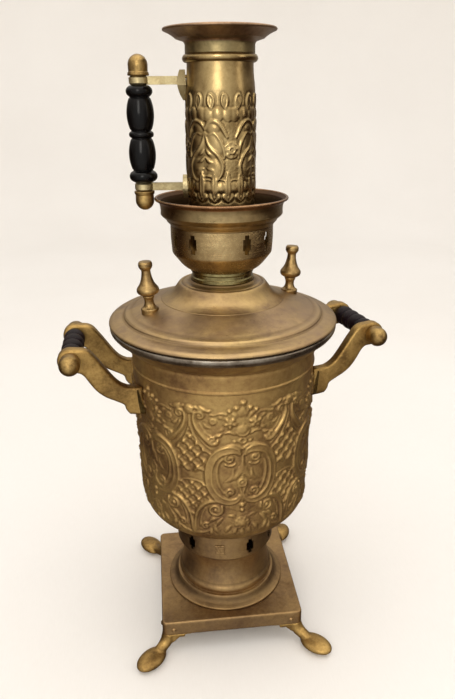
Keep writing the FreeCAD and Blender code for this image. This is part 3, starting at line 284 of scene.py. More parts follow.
def wood(name, light, dark, rough, coat, seed, axis_scale=(420.0, 420.0, 30.0)):
    k = Net(name)
    mp = k.n("ShaderNodeMapping")
    mp.inputs["Scale"].default_value = axis_scale
    mp.inputs["Location"].default_value = (seed, seed * 0.3, seed * 1.9)
    k.link(k.obj, mp.inputs["Vector"])
    grain = k.noise(1.0, 5.0, 0.6, 1.2, vec=mp.outputs[0])
    wear = k.noise(95.0, 5.0, 0.65, 0.4, seed=seed)
    f = k.math("ADD", k.math("MULTIPLY", grain, 0.62), k.math("MULTIPLY", wear, 0.38))
    col = k.ramp(f, [(0.34, dark), (0.58, light)])
    scratch = k.ramp(k.noise(340.0, 2.0, 0.7, 2.5, seed=seed + 4), [(0.66, 0.0), (0.76, 1.0)])
    col = k.mix(k.math("MULTIPLY", scratch, 0.5), col, tuple(x * 2.6 + 0.012 for x in light))
    k.link(col, k.b.inputs["Base Color"])
    k.link(k.math("ADD", k.math("MULTIPLY", wear, 0.26), rough), k.b.inputs["Roughness"])
    k.b.inputs["Coat Weight"].default_value = coat
    k.b.inputs["Specular IOR Level"].default_value = 0.11
    k.b.inputs["Coat Roughness"].default_value = 0.12
    n1 = k.bump(grain, 0.22, 0.00035)
    n1 = k.bump(wear, 0.12, 0.0012, n1)
    k.link(n1, k.b.inputs["Normal"])
    return k.m


M_WOOD = wood("dark_wood", (0.013, 0.0060, 0.0080), (0.0030, 0.0018, 0.0026), 0.28, 0.04, 3.0)
M_BLACK = wood("black_wood", (0.0036, 0.0030, 0.0032), (0.0010, 0.0010, 0.0012), 0.08, 0.12, 8.0)


def leather():
    k = Net("washer_leather")
    f = k.noise(240.0, 5.0, 0.65, 0.3)
    k.link(k.ramp(f, [(0.35, (0.05, 0.022, 0.010)), (0.65, (0.14, 0.070, 0.034))]), k.b.inputs["Base Color"])
    k.link(k.math("ADD", k.math("MULTIPLY", f, 0.3), 0.5), k.b.inputs["Roughness"])
    k.link(k.bump(k.voronoi(1700.0), 0.4, 0.0003), k.b.inputs["Normal"])
    return k.m


M_LEATHER = leather()


def cloth(name):
    """Pale cloth: a faint weave and slow shading, nothing that draws the eye."""
    k = Net(name)
    slow = k.noise(1.6, 3.0, 0.5)
    weave = k.noise(1.0, 2.0, 0.6, vec=None)
    mp = k.n("ShaderNodeMapping")
    mp.inputs["Scale"].default_value = (900.0, 90.0, 90.0)
    k.link(k.obj, mp.inputs["Vector"])
    weave = k.noise(1.0, 2.0, 0.6, vec=mp.outputs[0])
    f = k.math("ADD", k.math("MULTIPLY", slow, 0.7), k.math("MULTIPLY", weave, 0.3))
    k.link(k.ramp(f, [(0.30, (0.845, 0.815, 0.775)), (0.70, (0.905, 0.880, 0.845))]), k.b.inputs["Base Color"])
    k.b.inputs["Roughness"].default_value = 0.92
    k.link(k.bump(weave, 0.08, 0.0006), k.b.inputs["Normal"])
    return k.m


M_CLOTH = cloth("stage_cloth")


# ------------------------------------------------------------ mesh helpers

def put(name, verts, faces, mat, body, slot, nodes=(), smooth=True):
    """One object in metres from vertices in millimetres."""
    me = bpy.data.meshes.new(name)
    v = np.asarray(verts, float) * MM
    me.from_pydata(v.tolist(), [], faces if isinstance(faces, list) else faces.tolist())
    me.update()
    if smooth:
        me.polygons.foreach_set("use_smooth", [True] * len(me.polygons))
    me.materials.append(mat)
    ob = bpy.data.objects.new(name, me)
    bpy.context.scene.collection.objects.link(ob)
    if body is None:
        return ob
    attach(ob, body)
    if nodes:
        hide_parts(*nodes)
    return ob


def arc_mid(a, b, r, step):
    dx, dy = b[0] - a[0], b[1] - a[1]
    ln = math.hypot(dx, dy)
    s = 1.0 if r > 0 else -1.0
    rr = max(abs(r), ln / 2 + 1e-6)
    h = math.sqrt(max(rr * rr - ln * ln / 4, 0.0))
    cx, cy = (a[0] + b[0]) / 2 - dy * s * h / ln, (a[1] + b[1]) / 2 + dx * s * h / ln
    a0, a1 = math.atan2(a[1] - cy, a[0] - cx), math.atan2(b[1] - cy, b[0] - cx)
    d = a1 - a0
    if s > 0 and d < 0:
        d += 2 * PI
    if s < 0 and d > 0:
        d -= 2 * PI
    n = max(2, int(abs(d) * rr / step) + 1, int(abs(d) / 0.16) + 1)
    return [(cx + rr * math.cos(a0 + d * t / n), cy + rr * math.sin(a0 + d * t / n)) for t in range(1, n)]


def outline(pts, soft=0.3, step=1.2, closed=True, support=True):
    """Dense outline in (r, z): arcs divided, corners slightly rounded."""
    raw = []
    n = len(pts)
    for i in range(n if closed else n - 1):
        a, b = pts[i], pts[(i + 1) % n]
        raw.append((a[0], a[1]))
        if len(a) > 2 and a[2]:
            raw.extend(arc_mid(a, b, a[2], step))
    if not closed:
        raw.append((pts[-1][0], pts[-1][1]))
    out = []
    n = len(raw)
    for i in range(n):
        p = raw[i]
        if not closed and i in (0, n - 1):
            out.append(p)
            continue
        a, b = raw[i - 1], raw[(i + 1) % n]
        d0 = (p[0] - a[0], p[1] - a[1])
        d1 = (b[0] - p[0], b[1] - p[1])
        l0, l1 = math.hypot(*d0), math.hypot(*d1)
        if l0 < 1e-9 or l1 < 1e-9:
            continue
        turn = math.atan2(d0[0] * d1[1] - d0[1] * d1[0], d0[0] * d1[0] + d0[1] * d1[1])
        if abs(turn) < 0.33 or p[0] < 1e-6:
            out.append(p)
            continue
        t = min(soft * math.tan(min(abs(turn), 2.6) / 2), 0.42 * l0, 0.42 * l1)
        u0 = (d0[0] / l0, d0[1] / l0)
        u1 = (d1[0] / l1, d1[1] / l1)
        if support and l0 > 4 * t + 0.4:
            out.append((p[0] - u0[0] * (t + 0.15), p[1] - u0[1] * (t + 0.15)))
        k = 3
        q0 = (p[0] - u0[0] * t, p[1] - u0[1] * t)
        q1 = (p[0] + u1[0] * t, p[1] + u1[1] * t)
        for j in range(k + 1):
            s = j / k
            x = (1 - s) ** 2 * q0[0] + 2 * s * (1 - s) * p[0] + s * s * q1[0]
            y = (1 - s) ** 2 * q0[1] + 2 * s * (1 - s) * p[1] + s * s * q1[1]
            out.append((x, y))
        if support and l1 > 4 * t + 0.4:
            out.append((p[0] + u1[0] * (t + 0.15), p[1] + u1[1] * (t + 0.15)))
    return out


def fill_long(line, longest, closed=True):
    out = []
    n = len(line)
    for i in range(n if closed else n - 1):
        a, b = line[i], line[(i + 1) % n]
        out.append(a)
        if a[0] < 1e-6 and b[0] < 1e-6:
            continue
        k = int(math.hypot(b[0] - a[0], b[1] - a[1]) / longest)
        for j in range(1, k + 1):
            s = j / (k + 1)
            out.append((a[0] + (b[0] - a[0]) * s, a[1] + (b[1] - a[1]) * s))
    if not closed:
        out.append(line[-1])
    return out


def offset_shell(pts, t, left=True, step=1.0, soft=0.3):
    """Closed outline of a sheet from one of its faces."""
    line = outline(pts, soft=soft, step=step, closed=False)
    n = len(line)
    sd = 1.0 if left else -1.0
    off = []
    for i in range(n):
        a = line[max(i - 1, 0)]
        b = line[min(i + 1, n - 1)]
        dx, dy = b[0] - a[0], b[1] - a[1]
        ln = math.hypot(dx, dy)
        off.append((line[i][0] - dy / ln * t * sd, line[i][1] + dx / ln * t * sd))
    return line, off


def lathe_mesh(line, seg, warp=None):
    """Vertices and faces of a closed (r, z) outline turned about Z."""
    verts = []
    rows = []
    ang = np.arange(seg) * (2 * PI / seg)
    ca, sa = np.cos(ang), np.sin(ang)
    count = 0
    for r, z in line:
        if r < 1e-6:
            verts.append(np.array([[0.0, 0.0, z]]))
            rows.append((count, 1))
            count += 1
        else:
            rr = np.full(seg, r)
            zz = np.full(seg, z)
            if warp is not None:
                rr, zz = warp(ang, rr, zz)
            verts.append(np.stack([rr * ca, rr * sa, zz], 1))
            rows.append((count, seg))
            count += seg
    faces = []
    n = len(line)
    for i in range(n):
        (s0, c0), (s1, c1) = rows[i], rows[(i + 1) % n]
        if c0 == 1 and c1 == 1:
            continue
        if c0 == 1:
            faces += [(s0, s1 + j, s1 + (j + 1) % seg) for j in range(seg)]
        elif c1 == 1:
            faces += [(s0 + (j + 1) % seg, s0 + j, s1) for j in range(seg)]
        else:
            faces += [(s0 + j, s1 + j, s1 + (j + 1) % seg, s0 + (j + 1) % seg) for j in range(seg)]
    return np.concatenate(verts), faces


def area_sign(line):
    s = 0.0
    for i in range(len(line)):
        a, b = line[i - 1], line[i]
        s += a[0] * b[1] - b[0] * a[1]
    return s


def turn(pts, place=None, soft=0.3, seg=128, step=0.9, longest=6.0, warp=None, done=False):
    line = pts if done else fill_long(outline(pts, soft, step), longest)
    if area_sign(line) > 0:
        line = line[::-1]
    v, f = lathe_mesh(line, seg, warp)
    if place is not None:
        a = np.array(place)
        v = v @ a[:3, :3].T + a[:3, 3]
    return v, f


def joined(parts):
    vs, fs, n = [], [], 0
    for v, f in parts:
        vs.append(v)
        fs += [tuple(i + n for i in q) for q in f]
        n += len(v)
    return np.concatenate(vs), fs


def at(x, y, z, d=None):
    m_ = Matrix.Translation((x, y, z))
    if d is not None:
        m_ = m_ @ Vector((0, 0, 1)).rotation_difference(Vector(d)).to_matrix().to_4x4()
    return m_


def about(deg, m_=None):
    r = Matrix.Rotation(math.radians(deg), 4, "Z")
    return r @ m_ if m_ is not None else r


def hash_noise(ang, z, seed, ks=((3, 0.011), (5, 0.017), (8, 0.029), (13, 0.041))):
    """Slow, repeatable unevenness over a turned surface."""
    out = 0.0
    for i, (k, kz) in enumerate(ks):
        out = out + np.sin(ang * k + seed * (1.7 + i) + z * kz * 2 * PI * (1 + 0.3 * i)) / (1 + i)
    return out / 2.1


def wobble(amp, seed, dents=()):
    """Hand-spun sheet is a little out of true, with a few dents: (degrees, z, width mm, depth mm)."""
    def f(ang, rr, zz):
        rr = rr + amp * hash_noise(ang, zz, seed)
        for deg, dz, w, d in dents:
            a = (ang - math.radians(deg) + PI) % (2 * PI) - PI
            q = (a * rr) ** 2 + (zz - dz) ** 2 * 2.0
            rr = rr - d * np.exp(-q / (w * w))
        return rr, zz
    return f


# ------------------------------------------------------------ relief field

def smooth_line(pts, step=0.5):
    """Catmull-Rom through the points; every column is carried along."""
    p = np.asarray(pts, float)
    if len(p) == 2:
        k = max(2, int(np.hypot(*(p[1, :2] - p[0, :2])) / step))
        t = np.linspace(0, 1, k)[:, None]
        return p[0] * (1 - t) + p[1] * t
    q = np.vstack([2 * p[0] - p[1], p, 2 * p[-1] - p[-2]])
    out = []
    for i in range(1, len(q) - 2):
        a, b, c, d = q[i - 1], q[i], q[i + 1], q[i + 2]
        k = max(2, int(np.hypot(*(c[:2] - b[:2])) / step))
        t = (np.arange(k) / k)[:, None]
        out.append(0.5 * (2 * b + (c - a) * t + (2 * a - 5 * b + 4 * c - d) * t ** 2 + (3 * b - a - 3 * c + d) * t ** 3))
    out.append(q[-2][None, :])
    return np.concatenate(out)


class Relief:
    """Heights over an unrolled strip that repeats round the vessel.
    x is degrees times K (mm), z is mm."""

    def __init__(self, half, k, z0, z1, step, fat=1.0):
        self.k, self.half, self.period, self.fat = k, half * k, 2 * half * k, fat
        self.nx = int(round(self.period / step))
        self.step = self.period / self.nx
        self.x = -self.half + (np.arange(self.nx) + 0.5) * self.step
        self.z = np.arange(z0, z1, step)
        self.zstep = step
        self.R = np.zeros((len(self.z), self.nx))
        self.G = np.zeros_like(self.R)

    def each(self, x0, x1, z0, z1):
        a, b = np.searchsorted(self.z, (z0, z1))
        if a >= b:
            return
        for s in (-self.period, 0.0, self.period):
            c, d = np.searchsorted(self.x, (x0 + s, x1 + s))
            if c < d:
                X, Z = np.meshgrid(self.x[c:d] - s, self.z[a:b])
                yield slice(a, b), slice(c, d), X, Z

    def raise_(self, sa, sb, val):
        self.R[sa, sb] = np.maximum(self.R[sa, sb], val)

    def sink(self, sa, sb, val):
        self.G[sa, sb] = np.minimum(self.G[sa, sb], val)

    def stroke(self, pts, w, h, mirror=True, moat=0.55, shape="round", taper=0.0, groove=False):
        """pts are (degrees, z); w and h a number or one value per point."""
        n = len(pts)
        w = [w] * n if np.isscalar(w) else list(w)
        h = [h] * n if np.isscalar(h) else list(h)
        for sgn in ((1, -1) if mirror else (1,)):
            p = smooth_line([(sgn * a * self.k, b, ww, hh) for (a, b), ww, hh in zip(pts, w, h)])
            t = np.linspace(0, 1, len(p))
            pw = np.maximum(p[:, 2], 0.15) * self.fat
            if taper:
                pw = pw * np.clip(np.minimum(t, 1 - t) / taper, 0.12, 1.0) ** 0.6
            ph = p[:, 3]
            mw = pw.max() + 1.6
            for sa, sb, X, Z in self.each(p[:, 0].min() - mw, p[:, 0].max() + mw, p[:, 1].min() - mw, p[:, 1].max() + mw):
                best = np.full(X.shape, 1e9)
                W = np.ones(X.shape)
                H = np.zeros(X.shape)
                for i in range(0, len(p)):
                    d = np.hypot(X - p[i, 0], Z - p[i, 1])
                    q = d / pw[i]
                    m_ = q < best
                    best[m_] = q[m_]
                    W[m_] = pw[i]
                    H[m_] = ph[i]
                inside = best < 1
                if groove:
                    self.R[sa, sb] = np.where(inside, np.maximum(self.R[sa, sb] - H * (1 - best ** 2), 0.0), self.R[sa, sb])
                    self.sink(sa, sb, np.where(inside, -H * 0.7 * (1 - best ** 2), 0.0))
                    continue
                if shape == "round":
                    v = H * np.sqrt(np.clip(1 - best ** 2, 0, 1))
                elif shape == "band":
                    v = H * (0.55 * np.clip((1 - best) * 4, 0, 1) + 0.45 * np.exp(-((best - 0.72) / 0.16) ** 2))
                    v = np.where(inside, v, 0)
                elif shape == "cup":
                    v = H * np.clip((1 - best) * 5, 0, 1) * (0.45 + 0.55 * np.clip(best, 0, 1) ** 2)
                else:
                    v = H * np.clip(1 - best, 0, 1)
                self.raise_(sa, sb, v)
                if moat:
                    out = (best - 1) * W
                    self.sink(sa, sb, -moat * np.exp(-((out - 0.55) / 0.6) ** 2))

    def dome(self, u, z, rx, rz, h, mirror=True, rot=0.0, moat=0.5, power=0.5):
        rx, rz = rx * (1 + (self.fat - 1) * 0.6), rz * (1 + (self.fat - 1) * 0.6)
        for sgn in ((1, -1) if mirror and abs(u) > 1e-6 else (1,)):
            cx = sgn * u * self.k
            ca, sa_ = math.cos(math.radians(rot * sgn)), math.sin(math.radians(rot * sgn))
            big = max(rx, rz) + 1.8
            for sa, sb, X, Z in self.each(cx - big, cx + big, z - big, z + big):
                dx, dz = X - cx, Z - z
                a, b = dx * ca + dz * sa_, -dx * sa_ + dz * ca
                q = np.sqrt((a / rx) ** 2 + (b / rz) ** 2)
                self.raise_(sa, sb, np.where(q < 1, h * np.clip(1 - q ** 2, 0, 1) ** power, 0))
                if moat:
                    self.sink(sa, sb, -moat * np.exp(-(((q - 1) * min(rx, rz) - 0.5) / 0.55) ** 2))

    def ring(self, u, z, r, w, h, mirror=True, moat=0.4):
        for sgn in ((1, -1) if mirror and abs(u) > 1e-6 else (1,)):
            cx = sgn * u * self.k
            big = r + w + 1.6
            for sa, sb, X, Z in self.each(cx - big, cx + big, z - big, z + big):
                d = np.abs(np.hypot(X - cx, Z - z) - r)
                self.raise_(sa, sb, h * np.sqrt(np.clip(1 - (d / w) ** 2, 0, 1)))
                if moat:
                    self.sink(sa, sb, -moat * np.exp(-((d - w - 0.5) / 0.5) ** 2))

    def volute(self, u, z, r, w, h, a0, turns=1.15, hand=1, mirror=True):
        """A curl that winds in to an eye."""
        n = 14
        pts, ws, hs = [], [], []
        for i in range(n):
            t = i / (n - 1)
            a = math.radians(a0) + hand * 2 * PI * turns * t
            rr = r * (1 - 0.74 * t)
            pts.append((u + rr * math.cos(a) / self.k, z + rr * math.sin(a)))
            ws.append(w * (1 - 0.45 * t))
            hs.append(h * (1 - 0.15 * t))
        self.stroke(pts, ws, hs, mirror=mirror)
        self.dome(u, z, r * 0.26, r * 0.26, h * 1.1, mirror=mirror, moat=0.7)

    def leaf(self, a, b, w, h, mirror=True, bend=0.0, vein=True):
        """Pointed leaf from a to b (degrees, z), with a groove down the middle."""
        mx, mz = (a[0] + b[0]) / 2, (a[1] + b[1]) / 2
        dx, dz = (b[0] - a[0]) * self.k, b[1] - a[1]
        mid = (mx - dz * bend / self.k, mz + dx * bend)
        self.stroke([a, mid, b], [w * 0.35, w, w * 0.25], [h * 0.7, h, h * 0.6], mirror=mirror)
        if vein:
            s = 0.25
            p = (a[0] * (1 - s) + mid[0] * s, a[1] * (1 - s) + mid[1] * s)
            self.stroke([p, mid, (mid[0] * 0.35 + b[0] * 0.65, mid[1] * 0.35 + b[1] * 0.65)], 0.42, h * 0.45, mirror=mirror, groove=True)

    def inside(self, poly, X, Z):
        px = [p[0] * self.k for p in poly]
        pz = [p[1] for p in poly]
        res = np.zeros(X.shape, bool)
        j = len(poly) - 1
        for i in range(len(poly)):
            c = ((pz[i] > Z) != (pz[j] > Z)) & (X < (px[j] - px[i]) * (Z - pz[i]) / (pz[j] - pz[i] + 1e-12) + px[i])
            res ^= c
            j = i
        return res

    def trellis(self, poly, u0, z0, pitch, line=0.75, bead=1.55, h=1.0, hb=1.9):
        """Diagonal lattice with a bead on every crossing, kept inside the outline."""
        x0, x1 = min(p[0] for p in poly) * self.k, max(p[0] for p in poly) * self.k
        za, zb = min(p[1] for p in poly), max(p[1] for p in poly)
        for sa, sb, X, Z in self.each(x0, x1, za, zb):
            m_ = self.inside(poly, X, Z)
            a = (X - u0 * self.k + Z - z0) / pitch
            b = (X - u0 * self.k - Z + z0) / pitch
            fa = np.abs(a - np.round(a)) * pitch / math.sqrt(2)
            fb = np.abs(b - np.round(b)) * pitch / math.sqrt(2)
            v = h * np.sqrt(np.clip(1 - (fa / line) ** 2, 0, 1))
            v = np.maximum(v, h * np.sqrt(np.clip(1 - (fb / line) ** 2, 0, 1)))
            d = np.hypot(fa, fb)
            v = np.maximum(v, hb * np.sqrt(np.clip(1 - (d / bead) ** 2, 0, 1)))
            low = -0.75 * np.clip(np.minimum(fa, fb) / (pitch * 0.35), 0, 1)
            cen = np.hypot(pitch / 2 / math.sqrt(2) - fa, pitch / 2 / math.sqrt(2) - fb)
            v = np.maximum(v, 0.35 * np.sqrt(np.clip(1 - (cen / 1.0) ** 2, 0, 1)))
            self.R[sa, sb] = np.where(m_, np.maximum(self.R[sa, sb] * 0, v), self.R[sa, sb])
            self.G[sa, sb] = np.where(m_, low, self.G[sa, sb])

    def stipple(self, poly, pitch, r, h, seed):
        """Punched ground: small grains scattered inside the outline."""
        rs = np.random.RandomState(seed)
        x0, x1 = min(p[0] for p in poly) * self.k, max(p[0] for p in poly) * self.k
        za, zb = min(p[1] for p in poly), max(p[1] for p in poly)
        zs = np.arange(za, zb, pitch)
        for i, zz in enumerate(zs):
            for xx in np.arange(x0 + (i % 2) * pitch / 2, x1, pitch):
                cx, cz = xx + rs.uniform(-0.3, 0.3) * pitch, zz + rs.uniform(-0.3, 0.3) * pitch
                if self.inside(poly, np.array([[cx]]), np.array([[cz]]))[0, 0]:
                    for sa, sb, X, Z in self.each(cx - r, cx + r, cz - r, cz + r):
                        d = np.hypot(X - cx, Z - cz) / r
                        self.R[sa, sb] = np.maximum(self.R[sa, sb], np.where(self.R[sa, sb] < 0.3, h * np.clip(1 - d ** 2, 0, 1), 0))

    def flower(self, u, z, r, h, petals=6, mirror=True, rot=0.0):
        for sgn in ((1, -1) if mirror and abs(u) > 1e-6 else (1,)):
            for i in range(petals):
                a = 2 * PI * i / petals + math.radians(rot) * sgn
                self.dome(sgn * u + math.cos(a) * r * 0.62 / self.k, z + math.sin(a) * r * 0.62, r * 0.40, r * 0.30, h, mirror=False,
                          rot=math.degrees(a), moat=0.7)
            self.dome(sgn * u, z, r * 0.27, r * 0.27, h * 1.25, mirror=False, moat=0.6)

    def done(self, soften=0.45):
        H = np.where(self.R > 0.04, self.R, self.G)
        s = max(1, int(round(soften / self.step)))
        for _ in range(2):
            acc = H * 0.0
            wsum = 0.0
            for dx in range(-s, s + 1):
                for dz in range(-s, s + 1):
                    w = math.exp(-(dx * dx + dz * dz) / (2.0 * (0.6 * s + 0.2) ** 2))
                    if w < 0.02:
                        continue
                    t = np.roll(H, dx, 1)
                    t = np.pad(t, ((abs(dz), abs(dz)), (0, 0)), mode="edge")[abs(dz) + dz: abs(dz) + dz + H.shape[0]]
                    acc += w * t
                    wsum += w
            H = acc / wsum
        self.H = H
        lap = (np.roll(H, 2, 1) + np.roll(H, -2, 1) - 2 * H)
        up = np.pad(H, ((2, 2), (0, 0)), mode="edge")
        lap += up[4:] + up[:-4] - 2 * H
        wide = H * 0.0
        rr = max(2, int(2.2 / self.step))
        acc = 0
        for dx in (-rr, 0, rr):
            for dz in (-rr, 0, rr):
                t = np.roll(H, dx, 1)
                t = np.pad(t, ((abs(dz), abs(dz)), (0, 0)), mode="edge")[abs(dz) + dz: abs(dz) + dz + H.shape[0]]
                wide = wide + t
                acc += 1
        wide /= acc
        # painted light: raised and convex parts get a painted highlight; recessed and concave parts and the sunken
        # ground get painted shade
        self.PAINTED_HIGHLIGHT = np.clip((H - 0.55) / 1.4, 0, 1) * 0.6 + np.clip(-lap * 1.1, 0, 0.55)
        self.PAINTED_SHADE = np.clip((wide - H) * 0.9 + lap * 0.8, 0, 1) * 0.8 + np.clip(-H * 0.45, 0, 0.3)
        return self

    def sample(self, A, x, z):
        fx = (((x + self.half) / self.step - 0.5) % self.nx)
        i0 = np.floor(fx).astype(int)
        tx = fx - i0
        i0 %= self.nx
        i1 = (i0 + 1) % self.nx
        fz = np.clip((z - self.z[0]) / self.zstep, 0, len(self.z) - 1.001)
        j0 = np.floor(fz).astype(int)
        tz = fz - j0
        j1 = j0 + 1
        return ((A[j0, i0] * (1 - tx) + A[j0, i1] * tx) * (1 - tz) + (A[j1, i0] * (1 - tx) + A[j1, i1] * tx) * tz)


# ------------------------------------------------------ the vessel's relief
# half of one repeat, degrees from its middle and height; mirrored

K = 1.53
body = Relief(30.0, K, 138.0, 304.0, 0.36, 1.22)
b = body
# trellis above and below, behind everything else
up_poly = [(30.0, 270.0), (27.6, 259.0), (24.4, 251.0), (20.6, 243.6), (21.0, 238.0), (21.8, 230.0), (22.8, 224.5), (25.8, 227.0), (30.0, 225.0),
           (34.2, 227.0), (37.2, 224.5), (38.2, 230.0), (39.0, 238.0), (39.4, 243.6), (35.6, 251.0), (32.4, 259.0)]
b.trellis(up_poly, 30.0, 246.4, 12.4, line=0.95, bead=2.5, hb=2.5)
lo_poly = [(30.0, 211.0), (25.5, 210.5), (21.6, 208.5), (20.0, 203.0), (17.6, 196.0), (19.5, 192.5), (24.0, 189.0), (27.4, 181.0), (30.0, 172.0),
           (32.6, 181.0), (36.0, 189.0), (40.5, 192.5), (42.4, 196.0), (40.0, 203.0), (38.4, 208.5), (34.5, 210.5)]
b.trellis(lo_poly, 30.0, 197.4, 11.6, line=0.90, bead=2.3, hb=2.3)
# punched grounds
b.stipple([(8.0, 264.0), (16.0, 262.5), (19.0, 268.0), (22.0, 279.0), (16.0, 286.0), (0.0, 284.0), (-16.0, 286.0), (-22.0, 279.0), (-19.0, 268.0),
           (-16.0, 262.5), (-8.0, 264.0), (0.0, 258.0)], 2.0, 0.8, 0.5, 5)
b.stipple([(-13, 150), (13, 150), (15, 160), (11, 170), (5, 176), (-5, 176), (-11, 170), (-15, 160)], 2.1, 0.8, 0.45, 6)
# contour lines round the upper trellis and its lobed foot
b.stroke([(30.0, 286.0), (30.0, 276.0), (29.2, 268.0), (27.4, 259.5), (24.0, 251.0), (20.2, 244.4), (18.0, 241.6)], 0.85, 1.35)
b.stroke([(28.2, 276.0), (27.2, 267.0), (24.8, 258.4), (21.4, 251.4), (17.8, 246.8)], 0.62, 0.95)
b.stroke([(22.6, 224.0), (24.2, 226.2), (26.0, 226.0), (27.6, 223.6), (28.6, 222.4)], [1.0, 1.7, 2.0, 1.7, 0.8], [1.0, 1.7, 1.9, 1.6, 0.9])
b.stroke([(17.6, 196.6), (20.2, 203.6), (22.0, 208.6), (25.8, 211.4), (30.0, 212.6)], 0.7, 1.05)
# cartouche: two facing C-scrolls
c_line = [(1.8, 241.4), (3.6, 245.2), (7.6, 246.6), (12.6, 244.4), (16.6, 238.6), (19.0, 229.5), (19.8, 219.0), (19.2, 208.5), (16.6, 199.0), (12.6, 192.8),
          (7.6, 190.3), (3.4, 191.8), (1.7, 196.0)]
b.stroke(c_line, [1.5, 2.8, 3.7, 3.7, 3.5, 3.3, 3.2, 3.2, 3.4, 3.6, 3.2, 2.3, 1.5], [1.8, 2.4, 2.6, 2.5, 2.4, 2.3, 2.2, 2.3, 2.4, 2.5, 2.4, 2.0, 1.6], shape="band")
for f, hh in ((0.80, 1.0), (0.725, 0.85), (0.65, 0.75)):
    b.stroke([(7.4 + (u - 7.4) * f, 218.4 + (z - 218.4) * (f + 0.04)) for u, z in c_line[2:-2]], 0.55, hh, moat=0.45)
b.stroke([(11.4, 238.0), (14.0, 231.0), (14.9, 222.0), (14.4, 213.0), (12.6, 205.0), (10.6, 199.6)], [0.7, 1.0, 1.2, 1.2, 1.0, 0.8], 1.2)
b.volute(7.5, 237.2, 4.5, 1.15, 1.8, 60.0, 1.25, -1)
b.volute(7.1, 200.6, 4.5, 1.15, 1.8, -60.0, 1.25, 1)
b.stroke([(4.2, 231.6), (5.8, 229.8), (8.0, 229.4), (10.2, 231.0)], 0.8, 1.3)
b.leaf((0.6, 233.0), (4.4, 214.0), 1.5, 1.25, bend=-0.10)
b.leaf((2.2, 228.0), (8.4, 212.0), 1.4, 1.1, bend=-0.16)
b.leaf((5.4, 226.0), (10.6, 211.5), 1.2, 1.0, bend=-0.18)
b.stroke([(0, 240.0), (0, 233.0), (0, 225.0)], [0.7, 1.1, 0.6], 1.1, mirror=False)
b.ring(0, 210.6, 3.7, 1.0, 1.5, mirror=False)
b.dome(0, 210.6, 1.9, 1.9, 1.1, mirror=False)
for zz in (216.6, 219.6, 222.4):
    b.dome(0, zz, 1.1, 1.1, 1.2, mirror=False, moat=0.3)
b.stroke([(2.6, 207.0), (1.2, 203.6), (0.6, 197.0), (0.4, 190.0)], [0.8, 0.9, 0.8, 0.6], 1.1)
b.dome(0, 185.8, 2.5, 2.5, 2.1, mirror=False)
b.dome(0, 179.6, 1.9, 1.9, 1.8, mirror=False)
for i in range(5):
    b.stroke([(2.2 + i * 1.25, 189.0 - 0.5 * i), (2.4 + i * 1.15, 179.0 + 0.8 * i)], 0.5, 0.7, moat=0.3)
# crest over the cartouche
b.stroke([(0.0, 247.0), (3.0, 250.6), (7.0, 251.4), (11.0, 250.0)], [1.2, 1.0, 0.9, 0.5], 1.1)
b.stroke([(0.6, 252.6), (2.2, 255.4), (0.6, 257.6)], 0.8, 1.0)
b.dome(4.6, 254.8, 1.9, 1.2, 1.0, rot=20)
# upper S-scrolls, the boldest strokes on the vessel
b.stroke([(24.4, 284.6), (27.0, 282.4), (27.4, 276.0), (25.8, 268.6), (22.8, 261.6), (20.0, 256.4), (17.6, 253.2), (15.2, 253.4), (14.0, 256.4)],
         [1.1, 1.3, 1.6, 2.0, 2.3, 2.4, 2.3, 1.8, 1.2], [1.8, 2.1, 2.4, 2.7, 2.8, 2.8, 2.7, 2.2, 1.8])
b.volute(24.0, 280.6, 3.9, 1.1, 2.1, 75.0, 1.2, 1)
b.volute(17.0, 257.6, 3.4, 1.1, 2.3, -80.0, 1.2, 1)
b.stroke([(24.2, 272.8), (21.8, 266.4), (19.4, 262.0), (17.2, 260.6)], 0.6, 1.2)
b.leaf((16.0, 261.4), (11.6, 263.6), 1.5, 1.7, bend=0.18, vein=False)
b.leaf((22.0, 273.0), (17.4, 268.6), 1.2, 1.1, bend=0.15)
b.stroke([(24.2, 289.6), (21.4, 287.2), (18.8, 284.4)], [0.6, 1.3, 0.6], 1.4)
b.stroke([(26.6, 288.6), (24.0, 286.8), (21.0, 285.6), (17.6, 286.2)], [1.2, 1.0, 0.9, 0.6], 1.2)
b.dome(30.0, 286.2, 3.4, 3.6, 2.4, mirror=False)
b.ring(30.0, 286.2, 3.6, 0.9, 2.2, mirror=False)
# heart-shaped leaf, flowers, medallion and crown of buds
b.ring(16.6, 275.4, 2.5, 0.75, 1.4)
b.leaf((16.6, 278.6), (16.4, 272.0), 1.6, 0.8)
b.flower(7.2, 273.8, 5.9, 2.0, 5, rot=18.0)
b.leaf((11.0, 277.6), (14.2, 280.4), 1.4, 1.3, bend=0.1)
b.leaf((10.8, 268.4), (14.0, 266.2), 1.4, 1.2, bend=-0.1)
b.dome(0, 266.4, 5.2, 4.6, 1.5, mirror=False, power=0.7)
b.stroke([(-3.6, 264.4), (-2.4, 261.6), (0, 260.4), (2.4, 261.6), (3.6, 264.4)], 0.8, 1.6, mirror=False)
b.stroke([(4.6, 262.0), (7.4, 264.6), (10.4, 263.4)], [0.6, 1.1, 0.6], 1.3)
for uu, zz, rr in ((3.9, 288.4, 2.2), (7.6, 285.6, 1.8), (0.0, 293.4, 2.5)):
    b.dome(uu, zz, rr, rr * 0.9, 2.0)
b.leaf((0, 291.2), (0, 281.0), 2.2, 1.3, mirror=False)
b.leaf((3.0, 286.6), (1.4, 279.6), 1.6, 1.2, bend=-0.12)
b.leaf((6.8, 283.4), (3.6, 278.4), 1.5, 1.2, bend=-0.15)
for i in range(7):
    b.dome(9.4 + i * 1.45, 282.6 + 0.9 * math.sin(i * 0.9), 0.95, 0.95, 1.5, moat=0.3)
